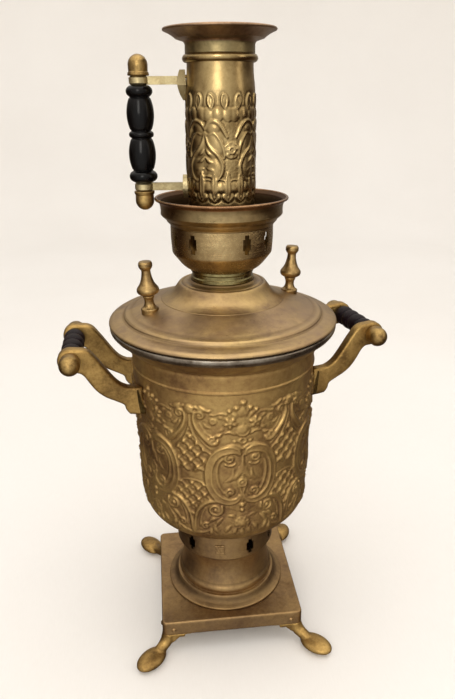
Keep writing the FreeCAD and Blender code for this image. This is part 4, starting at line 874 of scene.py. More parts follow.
# lower scrolls with their leaves
b.stroke([(10.6, 188.4), (13.4, 190.6), (17.2, 190.9), (21.4, 188.6), (25.0, 183.4), (27.6, 175.6), (28.8, 166.6), (29.1, 157.5), (29.7, 149.5)],
         [0.8, 1.5, 1.9, 2.0, 2.0, 1.7, 1.4, 1.2, 0.8], [1.3, 1.9, 2.2, 2.2, 2.1, 1.9, 1.7, 1.5, 1.0])
b.volute(16.2, 181.0, 7.0, 1.25, 1.9, 150.0, 1.5, 1)
b.ring(16.2, 181.0, 4.4, 0.7, 1.2)
b.stroke([(22.0, 182.6), (24.2, 176.0), (25.4, 168.0), (25.6, 160.0)], 0.65, 1.1)
b.volute(22.2, 161.8, 3.8, 1.0, 1.7, 120.0, 1.2, -1)
for i in range(4):
    b.stroke([(20.4 + 1.6 * i, 156.4 - 1.0 * i), (22.8 + 1.2 * i, 153.6 - 1.2 * i), (26.0 + 0.9 * i, 153.6 - 0.8 * i)], 0.6, 1.15 - 0.12 * i)
b.leaf((14.0, 172.4), (20.6, 165.6), 1.7, 1.4, bend=0.12)
b.leaf((12.0, 171.4), (16.0, 161.4), 1.7, 1.4, bend=0.10)
b.leaf((16.8, 163.8), (14.2, 153.4), 1.9, 1.5, bend=0.08)
b.leaf((19.0, 158.6), (18.4, 149.4), 1.6, 1.3, bend=0.05)
b.dome(0, 165.2, 4.4, 4.4, 1.9, mirror=False)
b.ring(0, 165.2, 6.4, 0.7, 1.0, mirror=False)
for i in range(8):
    a = 2 * PI * (i + 0.5) / 8
    b.dome(math.cos(a) * 5.6 / K, 165.2 + math.sin(a) * 5.6, 1.9, 1.3, 1.3, mirror=False, rot=math.degrees(a), moat=0.4)
b.leaf((0, 158.6), (0, 149.2), 2.1, 1.6, mirror=False)
b.leaf((3.4, 159.6), (5.2, 151.0), 1.8, 1.5, bend=0.06)
b.leaf((7.0, 162.6), (10.2, 154.0), 1.9, 1.6, bend=0.08)
b.leaf((4.0, 171.6), (9.4, 173.6), 1.3, 1.2, bend=0.15)
body.done(0.75)

# the middle repeat faces the front; the hand-laid repeats are not quite even
PHI = np.array([-294.7, -234.7, -174.7, -114.7, -86.5, -57.0, -26.2, 5.3, 35.6, 65.6, 125.3, 185.3])
UU = np.array([-300.0, -240.0, -180.0, -120.0, -90.0, -60.0, -30.0, 0.0, 30.0, 60.0, 120.0, 180.0])

v_a0, v_a2, v_b2, v_c2 = (53.8, 135.1), (75.8, 139.6), (84.2, 155.4), (85.2, 175.0)


def radius3(p, q, c):
    ax, ay, bx, by, cx, cy = p[0], p[1], q[0], q[1], c[0], c[1]
    area = (bx - ax) * (cy - ay) - (by - ay) * (cx - ax)
    r = math.hypot(bx - cx, by - cy) * math.hypot(ax - cx, ay - cy) * math.hypot(ax - bx, ay - by) / (2 * abs(area))
    return r if area > 0 else -r


VESSEL = [(27.1, 135.1), (53.8, 135.1, radius3(v_a0, (67.7, 136.1), v_a2)), (75.8, 139.6, radius3(v_a2, (81.1, 145.8), v_b2)),
          (84.2, 155.4, radius3(v_b2, (84.9, 162.2), v_c2)), (85.2, 175.0), (86.9, 225.7), (88.7, 286.5), (88.6, 300.6), (89.7, 301.7), (89.7, 303.1),
          (88.7, 304.2), (89.3, 317.2, -3.5), (92.2, 321.8), (95.2, 324.3), (103.0, 333.6), (103.0, 340.5)]


def even(line, zlo, zhi, step):
    """Divides the stretch between two heights evenly."""
    out = []
    for i in range(len(line) - 1):
        a, c = line[i], line[i + 1]
        out.append(a)
        if min(a[1], c[1]) >= zlo - 0.01 and max(a[1], c[1]) <= zhi + 0.01:
            k = int(math.hypot(c[0] - a[0], c[1] - a[1]) / step)
            for j in range(1, k + 1):
                s = j / (k + 1)
                out.append((a[0] + (c[0] - a[0]) * s, a[1] + (c[1] - a[1]) * s))
    out.append(line[-1])
    return out


def relief_shell(face, t, seg, zlo, zhi, step, field, to_x, window, amp, seed, dents, inner_gap=5.0, chase=1.0):
    """Sheet wall with the ornament raised on its outer face; returns vertices, faces and per-vertex painted highlight
    and painted shade.
    """
    line = even(outline(face, soft=0.4, step=0.8, closed=False, support=False), zlo, zhi, step)
    line = fill_long(line, 3.0, closed=False)
    n = len(line)
    nor = []
    for i in range(n):
        a, c = line[max(i - 1, 0)], line[min(i + 1, n - 1)]
        d = math.hypot(c[0] - a[0], c[1] - a[1])
        nor.append(((c[1] - a[1]) / d, -(c[0] - a[0]) / d))
    ang = np.arange(seg) * (2 * PI / seg)
    # azimuth from -Y toward +X, in degrees
    phi = (np.degrees(ang) + 90.0 + 180.0) % 360.0 - 180.0
    rows, high, hollow = [], [], []
    for i, (r, z) in enumerate(line):
        x = to_x(phi)
        zz = np.full(seg, z)
        w = window(z)
        h = field.sample(field.H, x, zz) * w * amp
        hi = field.sample(field.PAINTED_HIGHLIGHT, x, zz) * w
        ho = field.sample(field.PAINTED_SHADE, x, zz) * w
        uneven = 0.28 * hash_noise(ang, z, seed) * min(1.0, max(0.0, (z - zlo) / 10.0)) * min(1.0, max(0.0, (zhi + 12 - z) / 14.0))
        fine = 0.07 * np.sin(ang * 61 + z * 0.9 + 2 * np.sin(ang * 17)) * w + 0.06 * np.sin(ang * 97 - z * 1.3 + 3 * np.sin(z * 0.21)) * w
        h = h + uneven + fine * chase
        for deg, dz, dw, dd in dents:
            a = (ang - math.radians(deg) + PI) % (2 * PI) - PI
            h = h - dd * np.exp(-((a * r) ** 2 + (z - dz) ** 2) / (dw * dw))
        rr = r + nor[i][0] * h
        rows.append(np.stack([rr * np.cos(ang), rr * np.sin(ang), z + nor[i][1] * h], 1))
        high.append(hi)
        hollow.append(ho)
    # the inner face, with fewer rows and an even painted shade
    inner, last = [], None
    for i in range(n - 1, -1, -1):
        p = (line[i][0] - nor[i][0] * t, line[i][1] - nor[i][1] * t)
        if last is not None and i not in (0,) and math.hypot(p[0] - last[0], p[1] - last[1]) < inner_gap:
            continue
        inner.append(p)
        last = p
    for r, z in inner:
        rows.append(np.stack([r * np.cos(ang), r * np.sin(ang), np.full(seg, z)], 1))
        high.append(np.zeros(seg))
        hollow.append(np.full(seg, 0.25))
    V_ = np.concatenate(rows)
    m_ = len(rows)
    idx = np.arange(m_ * seg).reshape(m_, seg)
    nxt = np.roll(idx, -1, 1)
    up = np.roll(idx, -1, 0)
    upn = np.roll(nxt, -1, 0)
    F_ = np.stack([idx, nxt, upn, up], -1).reshape(-1, 4)
    return V_, F_, np.concatenate(high), np.concatenate(hollow)


def marks(ob, **kw):
    for k_, v in kw.items():
        a = ob.data.attributes.new(k_, "FLOAT", "POINT")
        a.data.foreach_set("value", np.asarray(v, np.float32))


def body_x(phi):
    return np.interp(phi, PHI, UU) * K


def body_window(z):
    return min(1.0, max(0.0, (z - 146.5) / 5.0)) * min(1.0, max(0.0, (299.5 - z) / 2.5))


V1, F1, hi1, ho1 = relief_shell(VESSEL, 1.2, 720, 143.0, 300.7, 0.82, body, body_x, body_window, 1.0, 2.4,
                                [(-104, 309, 5.0, 0.5), (-60, 226, 8.0, 0.5), (-118, 168, 7.0, 0.5), (150, 230, 14.0, 0.9), (60, 190, 12.0, 0.8)], chase=0.45)
vessel = put("vessel_relief", V1, F1, M_BODY, "stand", "body_brass", ["vessel_wall"])
# painted highlight on the relief's crests and painted shade in its hollows
marks(vessel, high=hi1, hollow=ho1)

# -------------------------------------------------------- the pipe's relief

KP = 29.4 * PI / 180.0
pipe = Relief(45.0, KP, 400.0, 548.0, 0.26, 1.35)
p = pipe
p.stipple([(-8, 503), (-14, 512), (-6, 523), (6, 523), (14, 512), (8, 503)], 1.5, 0.62, 0.55, 3)
p.stipple([(-14, 490), (14, 490), (20, 484), (26, 476), (14, 473), (-14, 473), (-26, 476), (-20, 484)], 1.5, 0.62, 0.55, 4)
p.stipple([(28, 489), (42, 489), (42, 479), (32, 479)], 1.5, 0.62, 0.5, 7)
p.stipple([(-42, 489), (-28, 489), (-32, 479), (-42, 479)], 1.5, 0.62, 0.5, 8)
for i in range(4):
    c = -33.75 + 22.5 * i
    lean = 2.2 if c > 0 else -2.2
    p.stroke([(c - 0.6 * lean, 530.0), (c - 4.4, 534.4), (c - 3.6 + 0.3 * lean, 539.4), (c + 0.7 * lean, 541.6), (c + 4.6 + 0.3 * lean, 539.0), (c + 4.4, 534.4), (c - 0.6 * lean, 530.0)],
             0.75, 1.5, mirror=False)
    p.dome(c + 0.2 * lean, 535.8, 1.35, 4.0, 1.1, mirror=False, moat=0.3)
for u in (5.6, 22.5, 39.4):
    p.dome(u, 526.4, 4.3, 4.5, 1.7, power=0.6)
    p.stroke([(u - 8.0, 524.4), (u - 4.5, 521.8), (u, 521.0), (u + 4.5, 521.8), (u + 8.0, 524.4)], 0.45, 1.0, moat=0.3)
# great curling leaves
p.stroke([(7.6, 508.2), (12.0, 512.4), (18.0, 517.6), (26.0, 520.8), (34.0, 520.8), (41.0, 518.2), (45.0, 514.6)], [0.8, 1.2, 1.5, 1.5, 1.4, 1.2, 0.9], [1.4, 1.9, 2.1, 2.1, 2.0, 1.8, 1.5])
p.dome(32.0, 515.4, 5.2, 4.0, 1.5, power=0.7)
p.stroke([(45.0, 512.6), (39.0, 510.4), (31.0, 511.6), (24.0, 509.6), (17.6, 504.4), (13.4, 498.0), (12.6, 491.6)], [0.6, 0.8, 0.9, 1.0, 1.1, 1.0, 0.7], [1.2, 1.4, 1.6, 1.8, 1.9, 1.7, 1.3])
p.stroke([(44.0, 511.0), (40.0, 504.0), (33.0, 498.8), (25.0, 495.4), (18.6, 491.0), (15.0, 485.4), (17.4, 479.0), (24.4, 474.0), (31.0, 472.4)],
         [0.7, 1.1, 1.4, 1.4, 1.4, 1.3, 1.2, 1.0, 0.7], [1.3, 1.8, 2.1, 2.1, 2.0, 1.9, 1.8, 1.6, 1.2])
p.leaf((43.0, 499.0), (32.0, 494.0), 1.3, 1.7, bend=0.10, vein=False)
p.leaf((44.0, 492.4), (30.0, 488.0), 1.3, 1.7, bend=0.10, vein=False)
p.leaf((42.0, 483.4), (26.0, 480.0), 1.3, 1.6, bend=-0.10, vein=False)
p.leaf((44.0, 477.0), (30.0, 476.4), 1.2, 1.5, bend=-0.08, vein=False)
for i in range(4):
    p.stroke([(21.0 + 3.0 * i, 503.4 - 1.4 * i), (27.0 + 3.0 * i, 506.0 - 2.2 * i), (36.0 + 2.0 * i, 507.6 - 3.0 * i)], 0.42, 0.95, moat=0.3)
p.dome(30.0, 503.0, 7.0, 9.5, 1.15, power=0.6, moat=0.0)
p.dome(28.0, 483.0, 5.8, 7.6, 1.05, power=0.6, moat=0.0)
# rosette
p.ring(0, 498.0, 6.3, 0.75, 1.2, mirror=False)
p.dome(0, 498.0, 5.6, 5.6, 1.2, mirror=False, power=0.5, moat=0.0)
for i in range(7):
    a = 2 * PI * i / 7 + 0.3
    p.dome(math.cos(a) * 4.4 / KP, 498.0 + math.sin(a) * 4.4, 2.0, 1.55, 1.5, mirror=False, rot=math.degrees(a), moat=0.4)
p.ring(0, 498.0, 2.5, 0.95, 2.6, mirror=False, moat=0.3)
p.dome(0, 498.0, 1.0, 1.0, 2.1, mirror=False, moat=0.0)
# lower row: leaves and bosses
for i in range(4):
    c = 4.5 - 45.0 + 22.5 * i
    p.dome(c, 467.6, 4.0, 4.2, 1.7, mirror=False, power=0.6)
    p.stroke([(c - 8.6, 470.4), (c - 5.6, 473.4), (c, 474.2), (c + 5.6, 473.4), (c + 8.6, 470.4)], 0.5, 1.2, mirror=False, moat=0.3)
    q = c - 11.25
    p.leaf((q, 480.0), (q, 456.4), 2.9, 1.9, mirror=False)
    p.stroke([(q - 6.6, 462.0), (q - 3.8, 457.4), (q, 455.6), (q + 3.8, 457.4), (q + 6.6, 462.0)], 0.6, 1.3, mirror=False)
    for s in (-1, 1):
        p.leaf((c + 2.0 * s, 462.4), (c + 5.6 * s, 455.8), 1.1, 1.3, mirror=False, vein=False)
pipe.done(0.52)

PIPE = [(29.4, 393.5), (29.4, 451.5), (29.4, 545.0), (28.2, 558.0), (28.0, 563.0), (28.0, 578.0)]


def pipe_x(phi):
    return (phi - 12.0) * KP


def pipe_window(z):
    return min(1.0, max(0.0, (z - 452.5) / 2.5)) * min(1.0, max(0.0, (545.0 - z) / 2.5))


V2, F2, hi2, ho2 = relief_shell(PIPE, 1.1, 352, 451.0, 546.0, 0.5, pipe, pipe_x, pipe_window, 0.74, 5.1,
                                [(-128, 546, 4.0, 0.45), (20, 480, 9.0, 0.6), (-40, 556, 6.0, 0.3)], chase=0.0)
pt = put("pipe_relief", V2, F2, M_PIPE, "pipe", "pipe_brass", ["pipe_tube"])
# painted highlight on the relief's crests and painted shade in its hollows
marks(pt, high=hi2, hollow=ho2)

# ---------------------------------------------------- turned pieces by name

turned_list = [
    ("pedestal", "stand", "body_brass", M_FOOTRING, 0.6, 256, [
        (62.7, 37.8), (63.1, 38.6), (62.9, 39.6), (61.6, 40.2), (58.9, 41.1, -7.5), (54.2, 46.2), (53.1, 48.2), (50.3, 48.7, 8.0),
        (50.5, 56.2), (48.7, 58.8, -60.0), (46.3, 76.0, -60.0), (48.5, 91.2), (50.2, 93.4), (50.2, 95.0),
        (48.0, 95.0), (48.0, 93.8), (46.4, 91.0, 62.0), (44.2, 76.0, 62.0), (46.6, 58.0), (47.9, 55.6), (47.6, 50.4), (49.6, 46.9), (52.2, 44.0), (56.0, 39.5), (57.2, 37.8)],
     wobble(0.12, 1.0, [(-70, 66, 7, 0.4), (-140, 78, 9, 0.5)])),
    ("rim_ring", "stand", "nickel", M_NICKEL, 0.5, 320, [
        (103.1, 333.7), (105.0, 333.7), (107.2, 336.6, 4.5), (107.8, 339.4, 1.9), (106.6, 341.2), (101.9, 341.2), (101.9, 340.6), (103.1, 340.6)],
     wobble(0.10, 3.0)),
    ("crown_neck", "crown", "bright_brass", M_BRIGHT, 0.35, 192, [
        (27.3, 381.0), (28.6, 381.0), (29.2, 382.0), (29.2, 384.6), (28.3, 385.6), (28.3, 388.6), (29.2, 389.6), (29.2, 392.0), (28.2, 392.0),
        (28.2, 404.0), (26.4, 404.0), (26.4, 397.0), (27.3, 397.0)], None),
    ("crown_gallery", "crown", "crown_brass", M_RIM, 0.4, 256, [
        (44.3, 429.7), (45.5, 429.7), (45.5, 432.4), (46.9, 432.4), (47.2, 433.4), (50.0, 436.6), (50.6, 438.0), (54.4, 441.4), (55.2, 442.6), (55.0, 446.0), (55.3, 450.0), (56.2, 452.4),
        (58.2, 454.2), (59.5, 454.8, 1.15), (59.3, 456.9, 1.15), (57.6, 456.0), (55.2, 453.6), (54.1, 450.4), (53.8, 446.0), (53.9, 443.2), (49.8, 439.6), (49.0, 437.6), (46.0, 434.2), (44.3, 433.6)],
     wobble(0.10, 6.0, [(-60, 456, 6, 0.35)])),
    ("pipe_bead", "pipe", "pipe_brass", M_PIPE, 0.2, 192, [(28.1, 566.0), (29.3, 566.0, 3.35), (29.3, 572.4), (28.1, 572.4)], None),
    ("pipe_flange", "pipe", "pipe_brass", M_FLANGE, 0.3, 256, [
        (28.1, 572.5), (29.2, 572.5), (29.2, 579.4, -4.0), (30.9, 582.1), (37.0, 584.0, -30.0), (46.6, 589.6, 1.2), (46.2, 591.9, 1.2), (45.6, 590.9, 30.0), (36.6, 585.1), (30.2, 583.1, 5.1), (28.1, 579.4)],
     wobble(0.12, 8.0)),
]
for nm, bd, sl, mat, soft, seg, pts, wp in turned_list:
    v, f = turn(pts, soft=soft, seg=seg, step=0.7, longest=4.0, warp=wp)
    ob_ = put(nm + "_turned", v, f, mat, bd, sl, [nm])
    zz_ = np.zeros(len(ob_.data.vertices) * 3)
    ob_.data.vertices.foreach_get("co", zz_)
    cc_ = zz_.reshape(-1, 3) * 1000.0
    if nm == "pedestal":
        # painted shade in the dark band above the foot flange (z 44) and under the ridge (z 58.5); painted highlights
        # on the flange's edge (z 39) and on the ridge (z 54.5)
        marks(ob_, hollow=np.clip(0.95 * np.exp(-((cc_[:, 2] - 44.0) / 3.6) ** 2) + 0.8 * np.exp(-((cc_[:, 2] - 58.5) / 1.0) ** 2), 0, 1),
              high=np.clip(0.5 * np.exp(-((cc_[:, 2] - 39.0) / 0.7) ** 2) + 0.5 * np.exp(-((cc_[:, 2] - 54.5) / 1.4) ** 2), 0, 1))
    elif nm == "crown_gallery":
        nn_ = np.zeros(len(ob_.data.vertices) * 3)
        ob_.data.vertices.foreach_get("normal", nn_)
        nn_ = nn_.reshape(-1, 3)
        inward = -(nn_[:, 0] * cc_[:, 0] + nn_[:, 1] * cc_[:, 1]) / np.hypot(cc_[:, 0], cc_[:, 1])
        # painted shade on the inward-facing walls below z 456 and a painted highlight on the top of the curled lip
        marks(ob_, hollow=np.clip(inward * 1.6, 0, 1) * (cc_[:, 2] < 456.0), high=np.clip((cc_[:, 2] - 456.0) * 0.6, 0, 0.6))
    elif mat is M_PIPE:
        # painted highlight on the bead's crest, where it stands out past r 31
        marks(ob_, hollow=np.zeros(len(cc_)), high=np.clip(np.hypot(cc_[:, 0], cc_[:, 1]) - 31.0, 0, 1))

# lid: the face is a shallow cone with a hand-spun waver and a few dents
lid_line, lid_back = offset_shell([(43.0, 368.51), (90.4, 352.20), (92.4, 351.60), (93.7, 350.60), (94.2, 349.30), (95.2, 348.70), (97.5, 348.10, -26.0), (107.2, 345.2, -2.2), (108.3, 343.1)], 1.2, left=False, step=0.6, soft=0.6)
lid_line = fill_long(lid_line, 2.0, closed=False)
lid_back = fill_long(lid_back, 6.0, closed=False)


def lid_warp(ang, rr, zz):
    zz = zz + 0.16 * hash_noise(ang, rr, 12.0)
    x, y = rr * np.cos(ang), rr * np.sin(ang)
    for deg, r0, w, d in ((-44, 84, 3.2, 0.55), (-40, 87, 2.2, -0.25), (-32, 76, 2.6, 0.35), (-103, 83, 3.0, 0.30), (-94, 82, 2.4, 0.28), (-88, 84, 2.0, -0.2), (-120, 86, 2.6, 0.22),
                          (-96, 74, 12.0, 0.30), (170, 88, 8.0, 0.5), (60, 80, 10.0, 0.5), (-150, 100, 5.0, 0.25), (-70, 101, 4.0, 0.22)):
        cx, cy = r0 * math.cos(math.radians(deg)), r0 * math.sin(math.radians(deg))
        zz = zz - d * np.exp(-((x - cx) ** 2 + (y - cy) ** 2) / (w * w))
    zz = zz + 0.26 * np.exp(-((rr - 91.4) / 1.3) ** 2) - 0.20 * np.exp(-((rr - 86.6) / 0.7) ** 2) + 0.16 * np.exp(-((rr - 105.2) / 1.2) ** 2)
    return rr, zz


def ring_marks(ob, lines_high, shade_lines):
    """Painted highlights on the crests and painted shade in the folds of a turned piece; each line is (radius, width,
    amount).
    """
    co_ = np.zeros(len(ob.data.vertices) * 3)
    ob.data.vertices.foreach_get("co", co_)
    co_ = co_.reshape(-1, 3) * 1000.0
    rr_ = np.hypot(co_[:, 0], co_[:, 1])
    an_ = np.arctan2(co_[:, 1], co_[:, 0])
    hi_ = sum(a * np.exp(-((rr_ - r) / w) ** 2) for r, w, a in lines_high) * (0.75 + 0.25 * np.sin(an_ * 3 + 1.0) * np.sin(an_ * 7 + 2.0))
    lo_ = sum(a * np.exp(-((rr_ - r) / w) ** 2) for r, w, a in shade_lines) * (0.80 + 0.20 * np.sin(an_ * 5 + 0.5))
    marks(ob, high=np.clip(hi_, 0, 1), hollow=np.clip(lo_, 0, 1))


v, f = turn(lid_line + lid_back[::-1], seg=320, warp=lid_warp, done=True)
lid_ob = put("lid_disc_turned", v, f, M_LID, "lid", "lid_brass", ["lid_disc"])
# painted highlights on the step at r 91.6, on the face's bulge at r 60.5, near the edge and at r 97; painted shade at r
# 94.9, 86.6 and 88.8
ring_marks(lid_ob, [(91.6, 1.6, 1.0), (60.5, 4.0, 0.5), (106.8, 1.0, 0.6), (97.0, 2.0, 0.3)], [(94.9, 0.9, 1.0), (86.6, 0.8, 0.55), (88.8, 0.5, 0.3)])
CONE = smooth_line([(58.2, 363.38), (57.0, 363.82), (54.5, 364.90), (51.5, 366.60), (48.5, 368.90), (45.8, 371.7), (43.6, 374.6), (42.0, 376.9), (40.8, 378.3), (39.4, 378.95),
                    (38.2, 378.45), (37.2, 378.55), (36.2, 379.3), (34.6, 379.7), (31.6, 379.9), (29.8, 381.6)], 0.6)[:, :2]
cone_line, cone_back = offset_shell([tuple(q_) for q_ in CONE], 1.1, True, 0.5, 0.2)
v, f = turn(cone_line + cone_back[::-1], seg=256, done=True, warp=wobble(0.08, 14.0))
cone_ob = put("lid_cone_turned", v, f, M_CONE, "lid", "bright_brass", ["lid_cone"])
# painted highlights on the flare at r 49 and on the bead at r 39.6 and 35.4; painted shade in the groove at r 37.7, at
# the neck (r 31) and at r 43.2
ring_marks(cone_ob, [(39.6, 1.0, 0.7), (49.0, 4.5, 0.9), (35.4, 0.9, 0.4)], [(37.7, 0.6, 0.9), (31.0, 1.6, 0.9), (43.2, 1.2, 0.15)])

# knobs stand square to nothing: each leans as it was fitted
for nm, az in (("right", 17.3), ("left", 197.3)):
    pl = about(az, Matrix.Translation((71.6, 0, 350.0)) @ Matrix.Rotation(math.radians(3.0), 4, "Y"))
    v, f = turn([(0, 5.5), (8.0, 5.5), (8.0, 10.2, 1.6), (7.0, 12.2), (5.6, 13.4, -9.0), (4.5, 20.5), (5.4, 22.6), (5.0, 23.4), (9.0, 25.8, 4.2), (9.0, 31.6),
                 (7.0, 34.5, -30.0), (4.1, 47.0), (5.6, 49.0), (6.3, 50.6), (6.3, 53.2), (5.4, 54.8), (0, 55.4)], pl, soft=0.5, seg=96, step=0.5, longest=2.0)
    s1 = turn([(0, -0.0), (2.5, 0.0), (2.5, 5.6), (0, 5.6)], pl, soft=0.3, seg=32)
    v, f = joined([(v, f), s1])
    put("lid_knob_%s_turned" % nm, v, f, M_KNOB, "lid", "knob_brass", ["lid_knob_" + nm])

# side grips, their nuts
GRIP = 143.5
caps = []
for nm, az in (("right", 11.5), ("left", 182.4)):
    st = 27.9 * 2 / 4.0
    prof = [(2.65, 0), (7.6, 0), (8.6, 0.8, 14.5), (8.6, st - 0.5), (7.7, st), (8.6, st + 0.5, 14.5), (8.6, st * 2 - 0.5), (7.7, st * 2),
            (8.6, st * 2 + 0.5, 14.5), (8.6, st * 3 - 0.5), (7.7, st * 3), (8.6, st * 3 + 0.5, 14.5), (8.6, st * 4 - 0.8), (7.6, st * 4), (2.65, st * 4)]
    v, f = turn(prof, about(az, at(GRIP, -27.9, 321.0, (0, 1, 0))), soft=0.35, seg=96, step=0.6, longest=3.0)
    put("handle_grip_%s_turned" % nm, v, f, M_WOOD, "stand", "dark_wood", ["handle_grip_" + nm])
    for sy in (1, -1):
        caps.append(turn([(2.65, 0), (8.6, 0), (9.3, 1.2), (9.3, 9.0, 10.2), (1.2, 17.3), (0, 17.4), (0, 12.0), (2.65, 12.0)],
                         about(az, at(GRIP, 39.1 * sy, 321.0, (0, sy, 0))), soft=0.5, seg=72, step=0.6, longest=2.5))
v, f = joined(caps)
put("handle_cap_nuts_turned", v, f, M_FAST, "stand", "fastener_brass", ["handle_cap_nuts"])

# flue pipe handle
PA, PX = 174.2, 68.8
v, f = turn([(2.65, 469.7), (8.0, 469.7), (9.6, 470.6, 4.6), (9.6, 479.0), (8.3, 480.2), (9.4, 481.0, 34.0), (9.6, 505.2), (8.4, 506.8), (9.9, 507.8, 2.9), (9.9, 511.8),
             (8.4, 512.8), (9.6, 514.4, 34.0), (9.4, 538.6), (8.3, 539.8), (9.6, 541.0, 4.4), (9.6, 547.9), (8.0, 549.0), (2.65, 549.0)],
            about(PA, at(PX, 0, 0)), soft=0.35, seg=96, step=0.6, longest=2.5)
put("pipe_grip_turned", v, f, M_BLACK, "pipe", "black_wood", ["pipe_grip"])
ACORN = [(2.65, 0), (8.8, 0), (9.1, 0.8), (8.7, 2.6), (8.1, 3.2), (8.3, 8.4, 8.6), (1.2, 16.7), (0, 16.8), (0, 9.6), (2.65, 9.6)]
v, f = turn(ACORN, about(PA, at(PX, 0, 556.5)), soft=0.4, seg=72, step=0.5, longest=2.0)
put("pipe_nut_upper_turned", v, f, M_FAST, "pipe", "fastener_brass", ["pipe_nut_upper"])
v, f = turn(ACORN, about(PA, at(PX, 0, 462.1) @ Matrix.Rotation(PI, 4, "X")), soft=0.4, seg=72, step=0.5, longest=2.0)
put("pipe_nut_lower_turned", v, f, M_FAST, "pipe", "fastener_brass", ["pipe_nut_lower"])


# ------------------------------------------------------------ cast brackets

def inset(poly, d):
    """Moves a counter-clockwise outline inwards."""
    n = len(poly)
    out = []
    for i in range(n):
        a, p_, c = poly[i - 1], poly[i], poly[(i + 1) % n]
        u0 = np.array(p_) - np.array(a)
        u1 = np.array(c) - np.array(p_)
        u0 /= np.linalg.norm(u0)
        u1 /= np.linalg.norm(u1)
        n0, n1 = np.array([-u0[1], u0[0]]), np.array([-u1[1], u1[0]])
        dot = float(n0 @ n1)
        mv = (n0 + n1) / max(1 + dot, 0.5)
        out.append(tuple(np.array(p_) + mv * d))
    return out


def slab(poly, t, edge, steps=4):
    """Plate with rounded edges in the (x, z) plane, from y = 0 to y = t."""
    if area_sign(poly) < 0:
        poly = poly[::-1]
    rings = []
    for i in range(steps + 1):
        a = PI / 2 * i / steps
        rings.append((edge * (1 - math.sin(a)), edge * (1 - math.cos(a))))
    prof = [(d, y) for d, y in rings] + [(d, t - y) for d, y in reversed(rings)]
    verts, faces = [], []
    n = len(poly)
    for d, y in prof:
        ring = inset(poly, d) if d > 1e-6 else poly
        verts += [(x, y, z) for x, z in ring]
    k_ = len(prof)
    for i in range(k_ - 1):
        for j in range(n):
            a, b_ = i * n + j, i * n + (j + 1) % n
            faces.append((a, b_, b_ + n, a + n))
    faces.append(tuple(range(n - 1, -1, -1)))
    faces.append(tuple((k_ - 1) * n + j for j in range(n)))
    return np.array(verts), faces


SB = [(143.5, 332.5), (137.0, 331.9), (131.0, 331.2), (125.8, 328.4), (120.4, 321.6), (113.8, 311.9), (107.2, 302.2),
      (101.2, 295.6), (94.4, 292.0), (90.5, 291.5)]
SB2 = [(88.9, 263.0), (93.6, 264.4), (97.2, 269.2),
       (98.9, 274.4), (105.6, 278.4), (115.2, 283.6), (122.6, 290.2), (128.2, 298.4), (132.2, 305.2), (136.4, 308.8), (143.5, 309.5)]
top = smooth_line(SB, 1.6)
low = smooth_line(SB2, 1.6)
boss = [(143.5 + 11.5 * math.cos(a), 321.0 + 11.5 * math.sin(a)) for a in np.linspace(-PI / 2, PI / 2, 20)[1:-1]]
wall = [(88.9 - 0.2, 291.3), (88.6, 284.0), (88.4, 276.0), (88.2, 269.0), (88.0, 263.2)]
S_POLY = [tuple(q_) for q_ in top[:, :2]] + wall + [tuple(q_) for q_ in low[:, :2]] + boss
clean = []
for q_ in S_POLY:
    if not clean or math.hypot(q_[0] - clean[-1][0], q_[1] - clean[-1][1]) > 0.5:
        clean.append(q_)
S_POLY = clean
for hn, az in (("right", 11.5), ("left", 182.4)):
    for en, y0 in (("front", -1), ("rear", 1)):
        sy = y0 if hn == "right" else -y0
        v, f = slab(S_POLY, 11.0, 2.6)
        y_at = 28.0 if sy > 0 else -39.0
        # a thin seat ring under the cap nut; it is built here but not added to the bracket
        seat_ = turn([(2.7, 0), (9.0, 0), (9.0, 0.10), (2.7, 0.10)], at(143.5, 5.5, 321.0, (0, sy, 0)), seg=48)
        v = v + np.array([0, y_at, 0])
        wall_r = np.interp(v[:, 2], [262.0, 286.5, 292.0], [87.98, 88.70, 88.66]) - 0.05
        wall_x = np.sqrt(wall_r ** 2 - v[:, 1] ** 2)
        # the outline's inner end slides along the height to meet the wall
        back = np.clip((93.5 - v[:, 0]) / 4.8, 0.0, 1.0)
        v[:, 0] = v[:, 0] * (1 - back) + (wall_x + np.clip(v[:, 0] - 88.0, 0, 3.0) * 0.4) * back
        mt = np.array(about(az))
        v = v @ mt[:3, :3].T
        put("handle_bracket_%s_%s_cast" % (hn, en), v, f, M_CAST, "stand", "cast_brass", ["handle_bracket_%s_%s" % (hn, en)])

# -------------------------------------------------------------------- feet

def remeshed(name, parts, voxel, smooth, mat, bodyname, slotname, nodename, floor=None):
    v, f = joined(parts)
    me = bpy.data.meshes.new(name + "_raw")
    me.from_pydata((v * MM).tolist(), [], f)
    bm_ = bmesh.new()
    bm_.from_mesh(me)
    bmesh.ops.recalc_face_normals(bm_, faces=bm_.faces)
    bm_.to_mesh(me)
    bm_.free()
    ob = bpy.data.objects.new(name + "_raw", me)
    bpy.context.scene.collection.objects.link(ob)
    r = ob.modifiers.new("r", "REMESH")
    r.mode = "VOXEL"
    r.voxel_size = voxel * MM
    s = ob.modifiers.new("s", "SMOOTH")
    s.factor = 0.5
    s.iterations = smooth
    dg = bpy.context.evaluated_depsgraph_get()
    out = bpy.data.meshes.new_from_object(ob.evaluated_get(dg))
    bpy.data.objects.remove(ob)
    co = np.zeros(len(out.vertices) * 3)
    out.vertices.foreach_get("co", co)
    co = co.reshape(-1, 3)
    if floor is not None:
        co[:, 2] = np.maximum(co[:, 2], floor * MM)
    fs = [tuple(q_.vertices) for q_ in out.polygons]
    bpy.data.meshes.remove(out)
    return put(name, co / MM, fs, mat, bodyname, slotname, [nodename])


